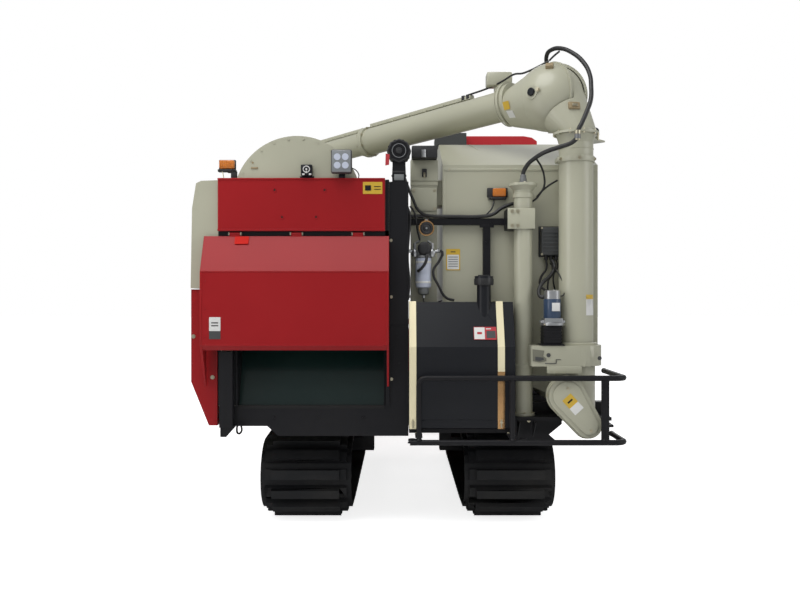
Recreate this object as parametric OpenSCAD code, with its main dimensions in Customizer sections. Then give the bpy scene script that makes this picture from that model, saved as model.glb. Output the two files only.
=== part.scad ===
// Tracked rice combine: cutting header in front, threshing unit on the left,
// operator's station, engine and grain tank on the right, unloading auger behind.
// X points right, Y points forward, Z points up, in millimetres.
// The origin lies on the ground, at the middle of the machine's box.

/* [Overall] */
// Length from the guard rail to the divider tips
overall_l = 5000; // [4900:10:5200]
// Width over the header's side plates
header_w = 2480; // [2440:10:2560]

/* [Tracks] */
// Distance between the middles of the two tracks
track_gauge = 1240; // [1200:5:1280]
// Width of one rubber track
track_w = 550; // [480:5:560]
// Number of lugs round one track
lug_count = 56; // [44:1:64]
// Height of a lug above the belt
lug_h = 55; // [35:1:60]
// Thickness of the belt
belt_t = 30; // [20:1:36]
// Width left plain at each edge of the belt
belt_edge = 28; // [15:1:45]
// Radius of the road wheels
roller_r = 110; // [90:1:120]
// Number of road wheels under one track
roller_count = 6; // [4:1:7]
// Radius of the rear idler
idler_r = 185; // [150:1:200]
// Height of the body's base plane above the ground
track_drop = 65; // [40:1:90]
// Radius of the drive sprocket
sprocket_r = 170; // [140:1:180]
// Number of teeth on the sprocket
sprocket_teeth = 12; // [9:1:14]

/* [Chassis] */
// Height of the underside of the rails
rail_z = 513; // [505:1:540]
// Depth of the rails
rail_h = 114; // [90:1:120]
// Width of a rail
rail_w = 80; // [60:1:90]
// Depth of the cross members on the rails
cross_h = 60; // [40:1:80]

/* [Threshing unit] */
// Left wall of the housing
thresher_x0 = -1098; // [-1120:1:-1080]
// Right wall of the housing
thresher_x1 = -111; // [-130:1:-100]
// Height of the deck on the housing
deck_z = 1996; // [1960:1:2030]
// Radius of the drum cover
drum_r = 369; // [350:1:380]
// Height of the drum's axis
drum_z = 1879; // [1860:1:1890]
// Place of the drum's axis across the machine
drum_x = -642; // [-660:1:-620]
// Outer face of the left side covers
cover_x = -1260; // [-1270:1:-1240]
// Thickness of the side covers
cover_t = 25; // [15:1:40]

/* [Discharge hood] */
// Left edge of the hood
hood_x0 = -1178; // [-1190:1:-1160]
// Height of the hood's hinge
hood_z1 = 1682; // [1660:1:1686]
// Height of the crease
hood_crease_z = 1461; // [1400:1:1500]
// Height of the lower edge
hood_z0 = 1014; // [980:1:1060]
// How far the rear face stands out from the hinge
hood_out = 110; // [80:1:140]
// Thickness of the hood's sheet
hood_t = 12; // [6:1:16]

/* [Grain tank] */
// Left wall of the tank
tank_x0 = 210; // [200:1:230]
// Right wall of the tank
tank_x1 = 1150; // [1100:1:1160]
// Height of the rear edge of the roof
tank_eave_z = 2118; // [2060:1:2130]
// Height of the flat roof
tank_roof_z = 2331; // [2280:1:2345]
// Length of the tank
tank_l = 1180; // [1100:5:1190]

/* [Fuel tank] */
// Width of the fuel tank
fuel_w = 605; // [560:1:610]
// Height of the fuel tank
fuel_h = 719; // [660:1:720]
// Height of the sloping part of its rear face
fuel_slope_h = 257; // [200:1:300]
// Depth of the fuel tank at its foot
fuel_d = 250; // [220:1:255]
// Width of the brass straps
strap_w = 40; // [25:1:50]

/* [Unloading auger] */
// Place of the vertical pipe across the machine
pipe_x = 987; // [980:1:1000]
// Radius of the vertical pipe
pipe_r = 100; // [90:1:104]
// Radius of the auger tube
tube_r = 96; // [80:1:100]
// Radius of the outer part of the auger tube
tube_end_r = 84; // [70:1:88]
// Distance from the vertical pipe to the joint flange
tube_joint = 1786; // [1500:1:1900]
// Distance from the vertical pipe to the end of the tube
tube_end = 2900; // [2700:1:3000]
// Radius of the ball inside the bell
ball_r = 190; // [185:1:195]
// Direction of the tube when it is folded
fold_angle = 135; // [130:1:140]
// Slope of the tube when it is folded
tube_drop = 3; // [2:0.5:3]
// Radius of the column beside the fuel tank
column_r = 55; // [45:1:58]

/* [Guard rail] */
// Radius of the rail's tube
guard_r = 16; // [12:1:20]
// Height of the upper rail
guard_z1 = 861; // [820:1:880]
// Height of the lower rail
guard_z0 = 500; // [480:1:520]

/* [Operator station] */
// Height of the floor
floor_z = 940; // [900:5:960]
// Height of the canopy's underside
canopy_z = 2455; // [2430:5:2500]
// Thickness of the canopy
canopy_t = 69; // [50:1:90]

/* [Header] */
// Width of the feeder house
feeder_w = 520; // [480:5:540]
// Depth of the feeder house
feeder_t = 340; // [300:5:345]
// Radius of the header auger's flights
flight_r = 225; // [200:1:228]
// Radius of the header auger's drum
auger_r = 150; // [120:1:160]
// Pitch of the flights
flight_pitch = 400; // [300:5:500]
// Number of knife guards
guard_count = 31; // [25:1:36]
// Radius of the circle of the reel's bats
reel_r = 380; // [340:1:385]
// Number of bats on the reel
bat_count = 5; // [4:1:6]
// Number of tines on a bat
tine_count = 16; // [10:1:24]
// Length of a tine
tine_l = 110; // [80:1:115]

/* [Cylinders] */
// Radius of the header's lift cylinders
lift_r = 32; // [26:1:34]
// Radius of their rods
lift_rod_r = 18; // [14:1:20]
// Radius of the small cylinders
small_r = 22; // [18:1:24]
// Radius of the small cylinders' rods
small_rod_r = 11; // [9:1:13]

/* [Hidden] */
$fn = 48;

// Running gaps: between moving pieces, round pins, and between seated pieces
gap = 6;
pin_gap = 0.3;
seat_gap = 0.3;
sheet = 12;

// Lengthwise places
rear_y = -overall_l / 2;
front_y = overall_l / 2;
shell_y0 = rear_y + 165;
shell_y1 = 100;
fuel_y0 = shell_y0 - 75;
fuel_y1 = fuel_y0 + fuel_d;

// Track geometry: wheels as [y, z, radius at the belt's inside]
track_x = track_gauge / 2;
track_rear_y = rear_y + 350;
wheel_low_z = roller_r + belt_t + lug_h - track_drop;
idler_y = track_rear_y + idler_r + belt_t + lug_h;
idler_z = idler_r + belt_t + lug_h + 12 - track_drop;
roller_y0 = idler_y + 320;
roller_y1 = 20;
sprocket_y = 250;
sprocket_z = 370 - track_drop;
carrier_r = 60;
carrier_y = -850;
carrier_z = 470 - track_drop;
WHEELS = [
    [idler_y, idler_z, idler_r],
    [roller_y0, wheel_low_z, roller_r],
    [roller_y1, wheel_low_z, roller_r],
    [sprocket_y, sprocket_z, sprocket_r],
    [carrier_y, carrier_z, carrier_r]
];

// Height of the deck that the housings stand on
base_z = rail_z + rail_h + cross_h;

paint_red = [0.62, 0.03, 0.07];
paint_beige = [0.72, 0.70, 0.58];
paint_black = [0.06, 0.06, 0.07];
paint_brass = [0.72, 0.56, 0.28];
paint_steel = [0.62, 0.63, 0.64];

// ---- helpers

// Everything is drawn over the body's base plane and stands on the tracks' lugs
module stand() {
    translate([0, 0, track_drop])
        children();
}

// A box between two corners
module box(x0, x1, y0, y1, z0, z1) {
    translate([x0, y0, z0])
        cube([x1 - x0, y1 - y0, z1 - z0]);
}

// An outline in Y and Z, drawn out from x0 to x1
module along_x(x0, x1) {
    translate([x0, 0, 0])
        rotate([90, 0, 90])
            linear_extrude(x1 - x0)
                children();
}

// An outline in X and Z, drawn out from y0 to y1
module along_y(y0, y1) {
    translate([0, y1, 0])
        rotate([90, 0, 0])
            linear_extrude(y1 - y0)
                children();
}

// Round bars along X, Y and Z
module bar_x(r, x0, x1, y, z) {
    translate([x0, y, z])
        rotate([0, 90, 0])
            cylinder(r = r, h = x1 - x0);
}

module bar_y(r, y0, y1, x, z) {
    translate([x, y0, z])
        rotate([-90, 0, 0])
            cylinder(r = r, h = y1 - y0);
}

module bar_z(r, z0, z1, x, y) {
    translate([x, y, z0])
        cylinder(r = r, h = z1 - z0);
}

// A round bar between two points
module bar(a, b, r) {
    d = b - a;
    translate(a)
        rotate([0, acos(d[2] / norm(d)), atan2(d[1], d[0])])
            cylinder(r = r, h = norm(d));
}

// Copies on both sides of the machine's middle
module both_sides() {
    children();
    mirror([1, 0, 0])
        children();
}

// Points of an arc, from angle a0 to a1 in n steps
function arc(c, r, a0, a1, n) =
    [for (i = [0:n]) c + r * [cos(a0 + (a1 - a0) * i / n), sin(a0 + (a1 - a0) * i / n)]];

// Rings of a round tube along a list of points
function unit(v) = v / norm(v);
function way(p, i) =
    unit(p[min(i + 1, len(p) - 1)] - p[max(i - 1, 0)]);
function side(d) = abs(d[2]) > 0.9 ? unit(cross(d, [0, 1, 0])) : unit(cross(d, [0, 0, 1]));
function turned(u, d) = unit(u - (u * d) * d);
function frames(p, i = 0, u = undef) =
    i == len(p) ? [] :
    let (d = way(p, i), v = u == undef ? side(d) : turned(u, d))
    concat([v], frames(p, i + 1, v));
function rings(p, r, n) =
    let (f = frames(p))
    [for (i = [0:len(p) - 1]) for (k = [0:n - 1])
        let (a = 360 * k / n, w = cross(way(p, i), f[i]))
        p[i] + r * (cos(a) * f[i] + sin(a) * w)];
module hose(p, r, n) {
    m = len(p);
    walls = [for (i = [0:m - 2]) for (k = [0:n - 1])
        [i * n + k, i * n + (k + 1) % n, (i + 1) * n + (k + 1) % n, (i + 1) * n + k]];
    lids = [[for (k = [0:n - 1]) n - 1 - k], [for (k = [0:n - 1]) (m - 1) * n + k]];
    polyhedron(points = rings(p, r, n), faces = [for (f = concat(walls, lids)) [for (k = [len(f) - 1:-1:0]) f[k]]]);
}

// ---- the tracks

// Angle of the tangent line's normal from wheel i to the next one
function next(i) = (i + 1) % len(WHEELS);
function centre(i) = [WHEELS[i][0], WHEELS[i][1]];
function span(i) = centre(next(i)) - centre(i);
function raw_normal(i) =
    atan2(span(i)[1], span(i)[0])
    - acos((WHEELS[i][2] - WHEELS[next(i)][2]) / norm(span(i)));
function above(a, b) = a < b - 0.001 ? above(a + 360, b) : a;
function normals(i = 0, last = -180) =
    i == len(WHEELS) ? [] :
    let (a = above(raw_normal(i), last))
    concat([a], normals(i + 1, a));
NORMALS = normals();
function normal_in(i) = i == 0 ? NORMALS[len(WHEELS) - 1] - 360 : NORMALS[i - 1];
function ray(a) = [cos(a), sin(a)];

// Stretches of the belt: [length, start or centre, radius, first angle, last angle]
STRETCHES = [for (i = [0:len(WHEELS) - 1]) each [
    [(NORMALS[i] - normal_in(i)) * PI / 180 * (WHEELS[i][2] + belt_t),
        centre(i), WHEELS[i][2], normal_in(i), NORMALS[i]],
    [norm(centre(next(i)) + WHEELS[next(i)][2] * ray(NORMALS[i])
        - centre(i) - WHEELS[i][2] * ray(NORMALS[i])),
        centre(i) + WHEELS[i][2] * ray(NORMALS[i]), 0, NORMALS[i], NORMALS[i]]
]];
function total(i = 0) = i == len(STRETCHES) ? 0 : STRETCHES[i][0] + total(i + 1);
belt_l = total();
lug_pitch = belt_l / lug_count;

// A point at distance s along the belt and h out from its inner face
function on_stretch(t, s, h) =
    t[2] > 0
    ? let (a = t[3] + (t[4] - t[3]) * s / t[0]) t[1] + (t[2] + h) * ray(a)
    : t[1] + s * ray(t[3] + 90) + h * ray(t[3]);
function on_belt(s, h) =
    s < 0 ? on_belt(s + belt_l, h) :
    s >= belt_l ? on_belt(s - belt_l, h) : belt_at(s, h, 0);
function belt_at(s, h, i) =
    i == len(STRETCHES) - 1 || s <= STRETCHES[i][0]
    ? on_stretch(STRETCHES[i], s, h)
    : belt_at(s - STRETCHES[i][0], h, i + 1);

// The lug's foot and crest, as shares of the pitch
lug_foot = 0.34;
lug_crest = 0.22;
belt_lift = 2;
lug_step = 42;
function lug_line(h) = [for (k = [0:lug_count - 1])
    let (w = lug_foot - (lug_foot - lug_crest) * h / lug_h)
    for (q = [[-lug_foot, 0], [-w, h], [w, h], [lug_foot, 0]])
    on_belt((k + q[0]) * lug_pitch, belt_t + q[1])];
function belt_line(h) =
    [for (k = [0:2 * lug_count - 1]) on_belt((k - 0.34) * lug_pitch / 2, h)];

module belt_ring(outer) {
    inner = belt_line(belt_lift);
    difference() {
        polygon(outer);
        polygon(inner);
    }
}

module track() {
    x0 = track_x - track_w / 2;
    x1 = track_x + track_w / 2;
    color(paint_black) {
        along_x(x0, x0 + belt_edge)
            belt_ring(belt_line(belt_t));
        along_x(x0 + belt_edge, x1 - belt_edge)
            belt_ring(lug_line(lug_h / 2));
        along_x(x0 + belt_edge + lug_step, x1 - belt_edge - lug_step)
            belt_ring(lug_line(lug_h));
        along_x(x1 - belt_edge, x1)
            belt_ring(belt_line(belt_t));
    }
}
module track_right() {
    track();
}
module track_left() {
    mirror([1, 0, 0])
        track();
}

// Wheels inside the track
spool_w = 200;
spool_groove = 60;
axle_r = 22;
cheek_t = 14;
module spool(y, z, r, w) {
    difference() {
        bar_x(r, track_x - w / 2, track_x + w / 2, y, z);
        difference() {
            bar_x(r + 10, track_x - spool_groove / 2, track_x + spool_groove / 2, y, z);
            bar_x(r - 26, track_x - spool_groove / 2, track_x + spool_groove / 2, y, z);
        }
    }
    bar_x(axle_r, track_x - w / 2 - cheek_t, track_x + w / 2 + cheek_t, y, z);
}
roller_step = (roller_y1 - roller_y0) / (roller_count - 1);
module rollers() {
    color(paint_black)
        both_sides() {
            for (i = [0:roller_count - 1])
                spool(roller_y0 + i * roller_step, wheel_low_z, roller_r, spool_w);
            spool(carrier_y, carrier_z, carrier_r, spool_w * 0.6);
            spool(idler_y, idler_z, idler_r, spool_w * 0.7);
        }
}

// Track frames: a beam with cheeks that hold the wheels' axles
beam_z0 = wheel_low_z + roller_r + 8;
beam_z1 = beam_z0 + 90;
arm_w = 110;
module cheek(w) {
    for (x = [track_x - w / 2 - cheek_t - seat_gap, track_x + w / 2 + seat_gap])
        along_x(x, x + cheek_t)
            children();
}
module axle_holes(w) {
    for (i = [0:roller_count - 1])
        translate([roller_y0 + i * roller_step, wheel_low_z])
            circle(axle_r + pin_gap);
}
module track_frames() {
    color(paint_black)
        both_sides() {
            difference() {
                box(track_x - spool_w / 2 - cheek_t - seat_gap, track_x + spool_w / 2 + cheek_t + seat_gap,
                    roller_y0 - 60, roller_y1 + 35, beam_z0, beam_z1);
            }
            cheek(spool_w)
                difference() {
                    polygon([
                        [roller_y0 - 60, beam_z1], [roller_y0 - 60, wheel_low_z - 35],
                        [roller_y1 + 35, wheel_low_z - 35], [roller_y1 + 35, beam_z1]
                    ]);
                    axle_holes(spool_w);
                }
            cheek(spool_w * 0.7)
                difference() {
                    polygon([
                        [idler_y - 50, idler_z - 50], [idler_y - 50, idler_z + 50],
                        [roller_y0 - 60, beam_z1], [roller_y0 - 60, beam_z0]
                    ]);
                    translate([idler_y, idler_z])
                        circle(axle_r + pin_gap);
                }
            cheek(spool_w * 0.6)
                difference() {
                    polygon([
                        [carrier_y - 70, beam_z1], [carrier_y + 70, beam_z1],
                        [carrier_y + 35, carrier_z + 35], [carrier_y - 35, carrier_z + 35]
                    ]);
                    translate([carrier_y, carrier_z])
                        circle(axle_r + pin_gap);
                }
            for (y = [roller_y0 + 260, roller_y1 - 330]) {
                box(arm_x0, track_x - spool_w / 2 - cheek_t - seat_gap, y, y + arm_w, beam_z0, beam_z1);
                box(arm_x0, arm_x0 + rail_w, y, y + arm_w, beam_z1, rail_z);
            }
        }
}
rail_x = 230;
arm_x0 = rail_x;

// Gearbox between the tracks, axle housings and sprockets
housing_r = 72;
hub_r = 95;
tooth_h = 28;
module sprocket_outline() {
    n = sprocket_teeth;
    polygon([for (k = [0:n - 1]) for (q = [[-0.32, 0], [-0.14, tooth_h], [0.14, tooth_h], [0.32, 0]])
        (sprocket_r - tooth_h + q[1]) * ray((k + q[0]) * 360 / n)]);
}
module drive() {
    color(paint_black) {
        along_x(-140, 140)
            polygon([
                [sprocket_y - 190, sprocket_z + 60], [sprocket_y - 120, sprocket_z - 90],
                [sprocket_y + 90, sprocket_z - 90], [sprocket_y + 110, sprocket_z + 60],
                [sprocket_y + 40, rail_z + 60], [sprocket_y - 150, rail_z + 60]
            ]);
        both_sides() {
            bar_x(housing_r, 140, track_x - 90, sprocket_y, sprocket_z);
            bar_x(hub_r, track_x - 90, track_x + 60, sprocket_y, sprocket_z);
            along_x(track_x - 25, track_x + 25)
                translate([sprocket_y, sprocket_z])
                    sprocket_outline();
        }
    }
}

// ---- the chassis

rail_y0 = fuel_y1 + 20;
rail_y1 = sprocket_y + 150;
cross_x = 1180;
CROSS_Y = [rail_y0 + 10, -1750, -1130, -500, 40];
cross_w = 80;
side_plate_y1 = shell_y0 + 130;
module chassis() {
    color(paint_black) {
        both_sides()
            box(rail_x, rail_x + rail_w, rail_y0, rail_y1, rail_z, rail_z + rail_h);
        for (y = CROSS_Y)
            box(thresher_x0 + 6, cross_x, y, y + cross_w, rail_z + rail_h, base_z);
        both_sides()
            box(140 + seat_gap, rail_x, sprocket_y - 110, sprocket_y, rail_z, rail_z + 60);
        // Shelf for the column and the foot of the unloading auger
        box(shelf_x0, cross_x, pipe_y - 70, rail_y0 + 11, column_z0 - 20, column_z0 - seat_gap);
        box(shelf_x0, cross_x, rail_y0 + 10, rail_y0 + 22, column_z0 - 20, rail_z + rail_h + 1);
        // Rear member below the outlet: a beam, and a deeper part with a cut corner
        along_y(shell_y0 + 6, shell_y0 + 70)
            polygon([
                [rear_member_x0, rear_member_z + 1], [rear_member_x0 + 64, rail_z],
                [plate_x1, rail_z], [plate_x1, rear_member_z + 1]
            ]);
        box(post_x0, plate_x1, shell_y0 + 6, shell_y0 + 70, rear_member_z, base_z);
        box(-rail_x - rail_w, -rail_x, shell_y0 + 69, rail_y0 + 1, rail_z, rail_z + rail_h);
        // Post at the outlet's left side
        box(post_x0, post_x0 + 76, shell_y0 - 60, shell_y0 - seat_gap, rear_member_z, hood_z0 - 10);
        box(post_x0, post_x0 + 76, shell_y0 - 60, shell_y0 + 7, rear_member_z, base_z - 2);
        header_lugs();
        // Plate between the threshing unit and the fuel tank
        box(thresher_x1 + seat_gap, plate_x1, shell_y0 + 6, side_plate_y1, base_z, 1985);
    }
}
rear_member_x0 = -818;
rear_member_z = 570;
post_x0 = -1081;
plate_x1 = 1;

// ---- the threshing unit

outlet_x0 = -1001;
outlet_x1 = -128;
outlet_d = 260;
outlet_z1 = 1640;
intake_x0 = -895;
intake_x1 = -385;
pivot_y = 290;
pivot_z = 1240;
pivot_r = 30;
ear_t = 20;
module thresher() {
    color(paint_beige)
        difference() {
            union() {
                box(thresher_x0, thresher_x1, shell_y0, shell_y1, base_z, deck_z);
                // Ears that carry the feeder house
                for (x = [feeder_x0 - gap - ear_t, feeder_x1 + gap])
                    along_x(x, x + ear_t)
                        polygon([
                            [shell_y1, pivot_z - 160], [pivot_y, pivot_z - 60],
                            [pivot_y + 60, pivot_z], [pivot_y, pivot_z + 60], [shell_y1, pivot_z + 160]
                        ]);
            }
            box(outlet_x0, outlet_x1, shell_y0 - 1, shell_y0 + outlet_d, base_z - 1, outlet_z1);
            box(intake_x0, intake_x1, shell_y1 - 220, shell_y1 + 1, 1080, 1440);
            bar_x(pivot_r + pin_gap, feeder_x0 - 60, feeder_x1 + 60, pivot_y, pivot_z);
        }
    // Ears and pins of the hood's hinges
    color(paint_beige)
        for (x = HOOD_HINGES) {
            for (w = [-hinge_l / 2 - 7, hinge_l / 2 + 1])
                box(x + w, x + w + 6, hood_y - hinge_r, shell_y0 + 1, hood_z1 - hinge_r, hood_z1 + hinge_r);
            bar_x(hinge_pin_r, x - hinge_l / 2 - 2, x + hinge_l / 2 + 2, hood_y, hood_z1);
        }
}
hinge_r = 9;
hinge_pin_r = 4;
hinge_l = 60;
HOOD_HINGES = [-1000, -645, -290];

// Cover over the threshing drum: an arch with bands and a flanged rear plate
drum_y0 = shell_y0 - 8;
band_w = 40;
module drum_segment(r) {
    intersection() {
        translate([drum_x, drum_z])
            circle(r, $fn = 96);
        translate([drum_x - drum_r - 20, deck_z])
            square([2 * drum_r + 40, drum_r]);
    }
}
module drum_cover() {
    color(paint_beige) {
        along_y(drum_y0 + sheet, shell_y1 - sheet)
            drum_segment(drum_r - 8);
        for (y = [drum_y0, shell_y1 - sheet])
            along_y(y, y + sheet)
                drum_segment(drum_r);
        for (k = [1:3])
            let (y = drum_y0 + k * (shell_y1 - drum_y0) / 4)
            along_y(y, y + band_w)
                drum_segment(drum_r - 2);
    }
}

rear_panel_x0 = -1098;
rear_panel_x1 = -134;
rear_panel_z0 = 1697;
module rear_panel() {
    color(paint_red) {
        box(rear_panel_x0, rear_panel_x1, shell_y0 - 25, shell_y0 - seat_gap, rear_panel_z0, deck_z - seat_gap);
        box(rear_panel_x0, rear_panel_x1, shell_y0 - 25, drum_y0 - seat_gap, deck_z - 1, deck_z + 6);
    }
}

// Discharge hood: a bent sheet with end plates, hinged along its upper edge
hood_y = shell_y0 - 12;
hood_x1 = -111;
hood_skirt_z = 800;
hood_top_z = hood_z1 - hinge_r - 5;
module hood_outline(t) {
    y0 = hood_y - hood_out;
    polygon([
        [hood_y + 6, hood_top_z], [hood_y - 4, hood_top_z], [y0, hood_crease_z], [y0, hood_z0 + 30],
        [y0 + 26, hood_z0], [y0 + 26 + t, hood_z0 + 4], [y0 + t, hood_z0 + 30 + t * 0.4],
        [y0 + t, hood_crease_z - t * 0.3], [hood_y + 6, hood_top_z - t * 1.6]
    ]);
}
module hood_end() {
    y0 = hood_y - hood_out;
    polygon([
        [hood_y + 6, hood_top_z - 4], [y0 + 6, hood_crease_z], [y0 + 6, hood_z0 + 24],
        [hood_y + 6, hood_skirt_z]
    ]);
}
module hood() {
    color(paint_red) {
        along_x(hood_x0, hood_x1)
            hood_outline(hood_t);
        along_x(hood_x0, hood_x0 + hood_t)
            hood_end();
        along_x(hood_x1 - hood_t, hood_x1)
            hood_end();
        for (x = HOOD_HINGES)
            difference() {
                union() {
                    bar_x(hinge_r, x - hinge_l / 2, x + hinge_l / 2, hood_y, hood_z1);
                    box(x - hinge_l / 2, x + hinge_l / 2, hood_y - 6, hood_y + 4, hood_top_z - 6, hood_z1 - 2);
                }
                bar_x(hinge_pin_r + pin_gap, x - hinge_l, x + hinge_l, hood_y, hood_z1);
            }
    }
}

// Green guide plate inside the outlet
module outlet_panel() {
    color([0.03, 0.12, 0.09])
        along_x(outlet_x0 + 2, outlet_x1 - 2)
            polygon([
                [shell_y0 + 60, base_z + seat_gap], [shell_y0 + 72, base_z + seat_gap],
                [shell_y0 + outlet_d - seat_gap, outlet_z1 - 380], [shell_y0 + outlet_d - seat_gap, outlet_z1 - 340]
            ]);
}

// Left side: a beige cover above, two red doors below
cover_z1 = 1362;
cover_foot_z = 572;
cover_gap = 6;
door_gap = 12;
door_pin_r = 5;
door_pin_in = cover_t / 2;
door_split_y = shell_y0 + 0.49 * (shell_y1 - shell_y0);
function upper_line(t) = [
    [thresher_x0 - seat_gap, deck_z - 2 - t], [cover_x + 60 + t, deck_z - 6 - t],
    [cover_x + 31 + t, deck_z - 20 - t], [cover_x + 8 + t, 1831], [cover_x + t, cover_z1 + cover_gap]
];
function lower_line(t) = [
    [cover_x + t, cover_z1], [cover_x + t, 826], [cover_x + 103 + t, cover_foot_z + t],
    [thresher_x0 - 10, cover_foot_z + t]
];
function shell_outline(a, b) = concat(a, [for (i = [len(b) - 1:-1:0]) b[i]]);
module cover_ends(y0, y1, t) {
    for (y = [y0, y1 - t])
        along_y(y, y + t)
            children();
}
module side_cover() {
    color(paint_beige) {
        // Pins that the doors below turn on
        for (y = [door_rear_y1, shell_y1 - 4])
            bar_z(door_pin_r, cover_z1 - 60, cover_z1 + cover_gap + 1, cover_x + door_pin_in, y - door_pin_in);
        along_y(shell_y0 + 5, shell_y1 - 4)
            polygon(shell_outline(upper_line(0), upper_line(cover_t)));
        cover_ends(shell_y0 + 5, shell_y1 - 4, cover_t)
            polygon(concat(upper_line(0), [[thresher_x0 - seat_gap, cover_z1 + cover_gap]]));
    }
}
module side_door(y0, y1) {
    color(paint_red)
        difference() {
            union() {
                along_y(y0, y1)
                    polygon(shell_outline(lower_line(0), lower_line(cover_t)));
                cover_ends(y0, y1, cover_t)
                    polygon(concat(lower_line(0), [[thresher_x0 - 10, cover_z1]]));
            }
            bar_z(door_pin_r + pin_gap, cover_z1 - 62, cover_z1 + 1, cover_x + door_pin_in, y1 - door_pin_in);
        }
}
door_rear_y1 = door_split_y - door_gap;
module side_door_rear() {
    side_door(shell_y0 + 17, door_rear_y1);
}
module side_door_front() {
    side_door(door_split_y, shell_y1 - 4);
}

// ---- the grain tank

tank_y0 = rear_y + 400;
tank_y1 = tank_y0 + tank_l;
tank_floor_z = 1010;
tank_slope = 500;
module grain_tank() {
    color(paint_beige)
        difference() {
            union() {
                along_x(tank_x0, tank_x1)
                    polygon([
                        [tank_y0, tank_floor_z], [tank_y1, tank_floor_z], [tank_y1, tank_roof_z],
                        [tank_y0 + tank_slope, tank_roof_z], [tank_y0, tank_eave_z]
                    ]);
                along_y(tank_y0 + 20, tank_y1 - 20)
                    polygon([
                        [tank_x0 + 40, tank_floor_z + 1], [tank_x1 - 40, tank_floor_z + 1],
                        [pipe_x + 70, base_z + 40], [pipe_x + 70, base_z],
                        [pipe_x - 130, base_z], [pipe_x - 130, base_z + 40]
                    ]);
            }
            along_x(tank_x0 + sheet, tank_x1 - sheet)
                polygon([
                    [tank_y0 + sheet, tank_floor_z + sheet], [tank_y1 - sheet, tank_floor_z + sheet],
                    [tank_y1 - sheet, tank_roof_z - sheet], [tank_y0 + tank_slope + 5, tank_roof_z - sheet],
                    [tank_y0 + sheet, tank_eave_z - sheet + 4]
                ]);
            // Mouth under the hatch, and the hatch's seat
            box(hatch_x0 + 20, hatch_x1 - 20, hatch_y0 + 20, hatch_y1 - 20, tank_roof_z - 40, tank_roof_z + 1);
            box(hatch_x0 - 4, hatch_x1 + 4, hatch_y0 - 4, hatch_y1 + 4, tank_roof_z - 6, tank_roof_z + 1);
        }
    color(paint_beige)
        pipe_collar();
}
hatch_x0 = 640;
hatch_x1 = 1060;
hatch_y0 = tank_y0 + 620;
hatch_y1 = hatch_y0 + 380;
module tank_hatch() {
    color(paint_beige) {
        box(hatch_x0, hatch_x1, hatch_y0, hatch_y1, tank_roof_z - 6 + seat_gap, tank_roof_z + 24);
        bar_x(9, hatch_x0 + 40, hatch_x1 - 40, hatch_y1 + 12, tank_roof_z + 9.5);
        for (x = [hatch_x0 + 60, hatch_x1 - 100])
            box(x, x + 40, hatch_y1 - 1, hatch_y1 + 12, tank_roof_z + 5, tank_roof_z + 14);
    }
}

// Elevator that lifts the grain from the threshing unit to the tank
elevator_x0 = 19;
elevator_x1 = 178;
elevator_y0 = tank_y0 + 20;
module grain_elevator() {
    color(paint_beige) {
        box(elevator_x0, elevator_x1, elevator_y0, elevator_y0 + 300, base_z, 2020);
        along_x(elevator_x0, elevator_x1)
            polygon([
                [elevator_y0, 2019], [elevator_y0, 2154], [elevator_y0 + 220, 2154],
                [elevator_y0 + 300, 2080], [elevator_y0 + 300, 2019]
            ]);
        box(elevator_x1 - 1, tank_x0 - seat_gap, elevator_y0 + 60, elevator_y0 + 240, 1880, 2040);
    }
}

// ---- the rear right side

fuel_x0 = 4;
fuel_z0 = 570;
fuel_z1 = fuel_z0 + fuel_h;
shelf_x0 = fuel_x0 + fuel_w + 2;
cap_x = 441;
cap_y = fuel_y0 + 118;
function fuel_side(t) = [
    [fuel_y0 - t, fuel_z0 - t], [fuel_y1 + t, fuel_z0 - t], [fuel_y1 + t, fuel_z1 + t],
    [fuel_y0 + 110 - t * 0.6, fuel_z1 + t], [fuel_y0 - t, fuel_z1 - fuel_slope_h + t * 0.4]
];
module fuel_tank() {
    color(paint_black) {
        along_x(fuel_x0, fuel_x0 + fuel_w)
            polygon(fuel_side(0));
        bar_z(40, fuel_z1 - 180, fuel_z1 + 108, cap_x, cap_y);
        bar_z(54, fuel_z1 + 108, fuel_z1 + 150, cap_x, cap_y);
    }
}
module fuel_straps() {
    color(paint_brass)
        for (x = [fuel_x0 + 1, fuel_x0 + fuel_w - 100])
            along_x(x, x + strap_w)
                difference() {
                    polygon(fuel_side(4));
                    polygon(fuel_side(seat_gap));
                }
}
// Cradle under the fuel tank and the frame behind it
frame_y = fuel_y1 + 12;
frame_w = 40;
frame_z = 1751;
post_x = 451;
column_x = 681;
column_y = frame_y - 68;
module rear_frame() {
    color(paint_black) {
        box(-65, column_x - column_r - seat_gap, frame_y, frame_y + frame_w, frame_z, frame_z + frame_w);
        box(post_x, post_x + 44, frame_y, frame_y + frame_w, base_z, frame_z + 1);
        // Clamp round the column
        difference() {
            box(column_x - column_r - 45, column_x + column_r + 4, column_y - column_r - 10,
                frame_y + frame_w, frame_z - 35, frame_z + frame_w + 46);
            bar_z(column_r + pin_gap, frame_z - 60, frame_z + 160, column_x, column_y);
        }
        // Shelf under the fuel tank
        box(fuel_x0, fuel_x0 + fuel_w, fuel_y0 + 20, rail_y0 - seat_gap, fuel_z0 - 30, fuel_z0 - 4 - seat_gap);
    }
}

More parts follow.
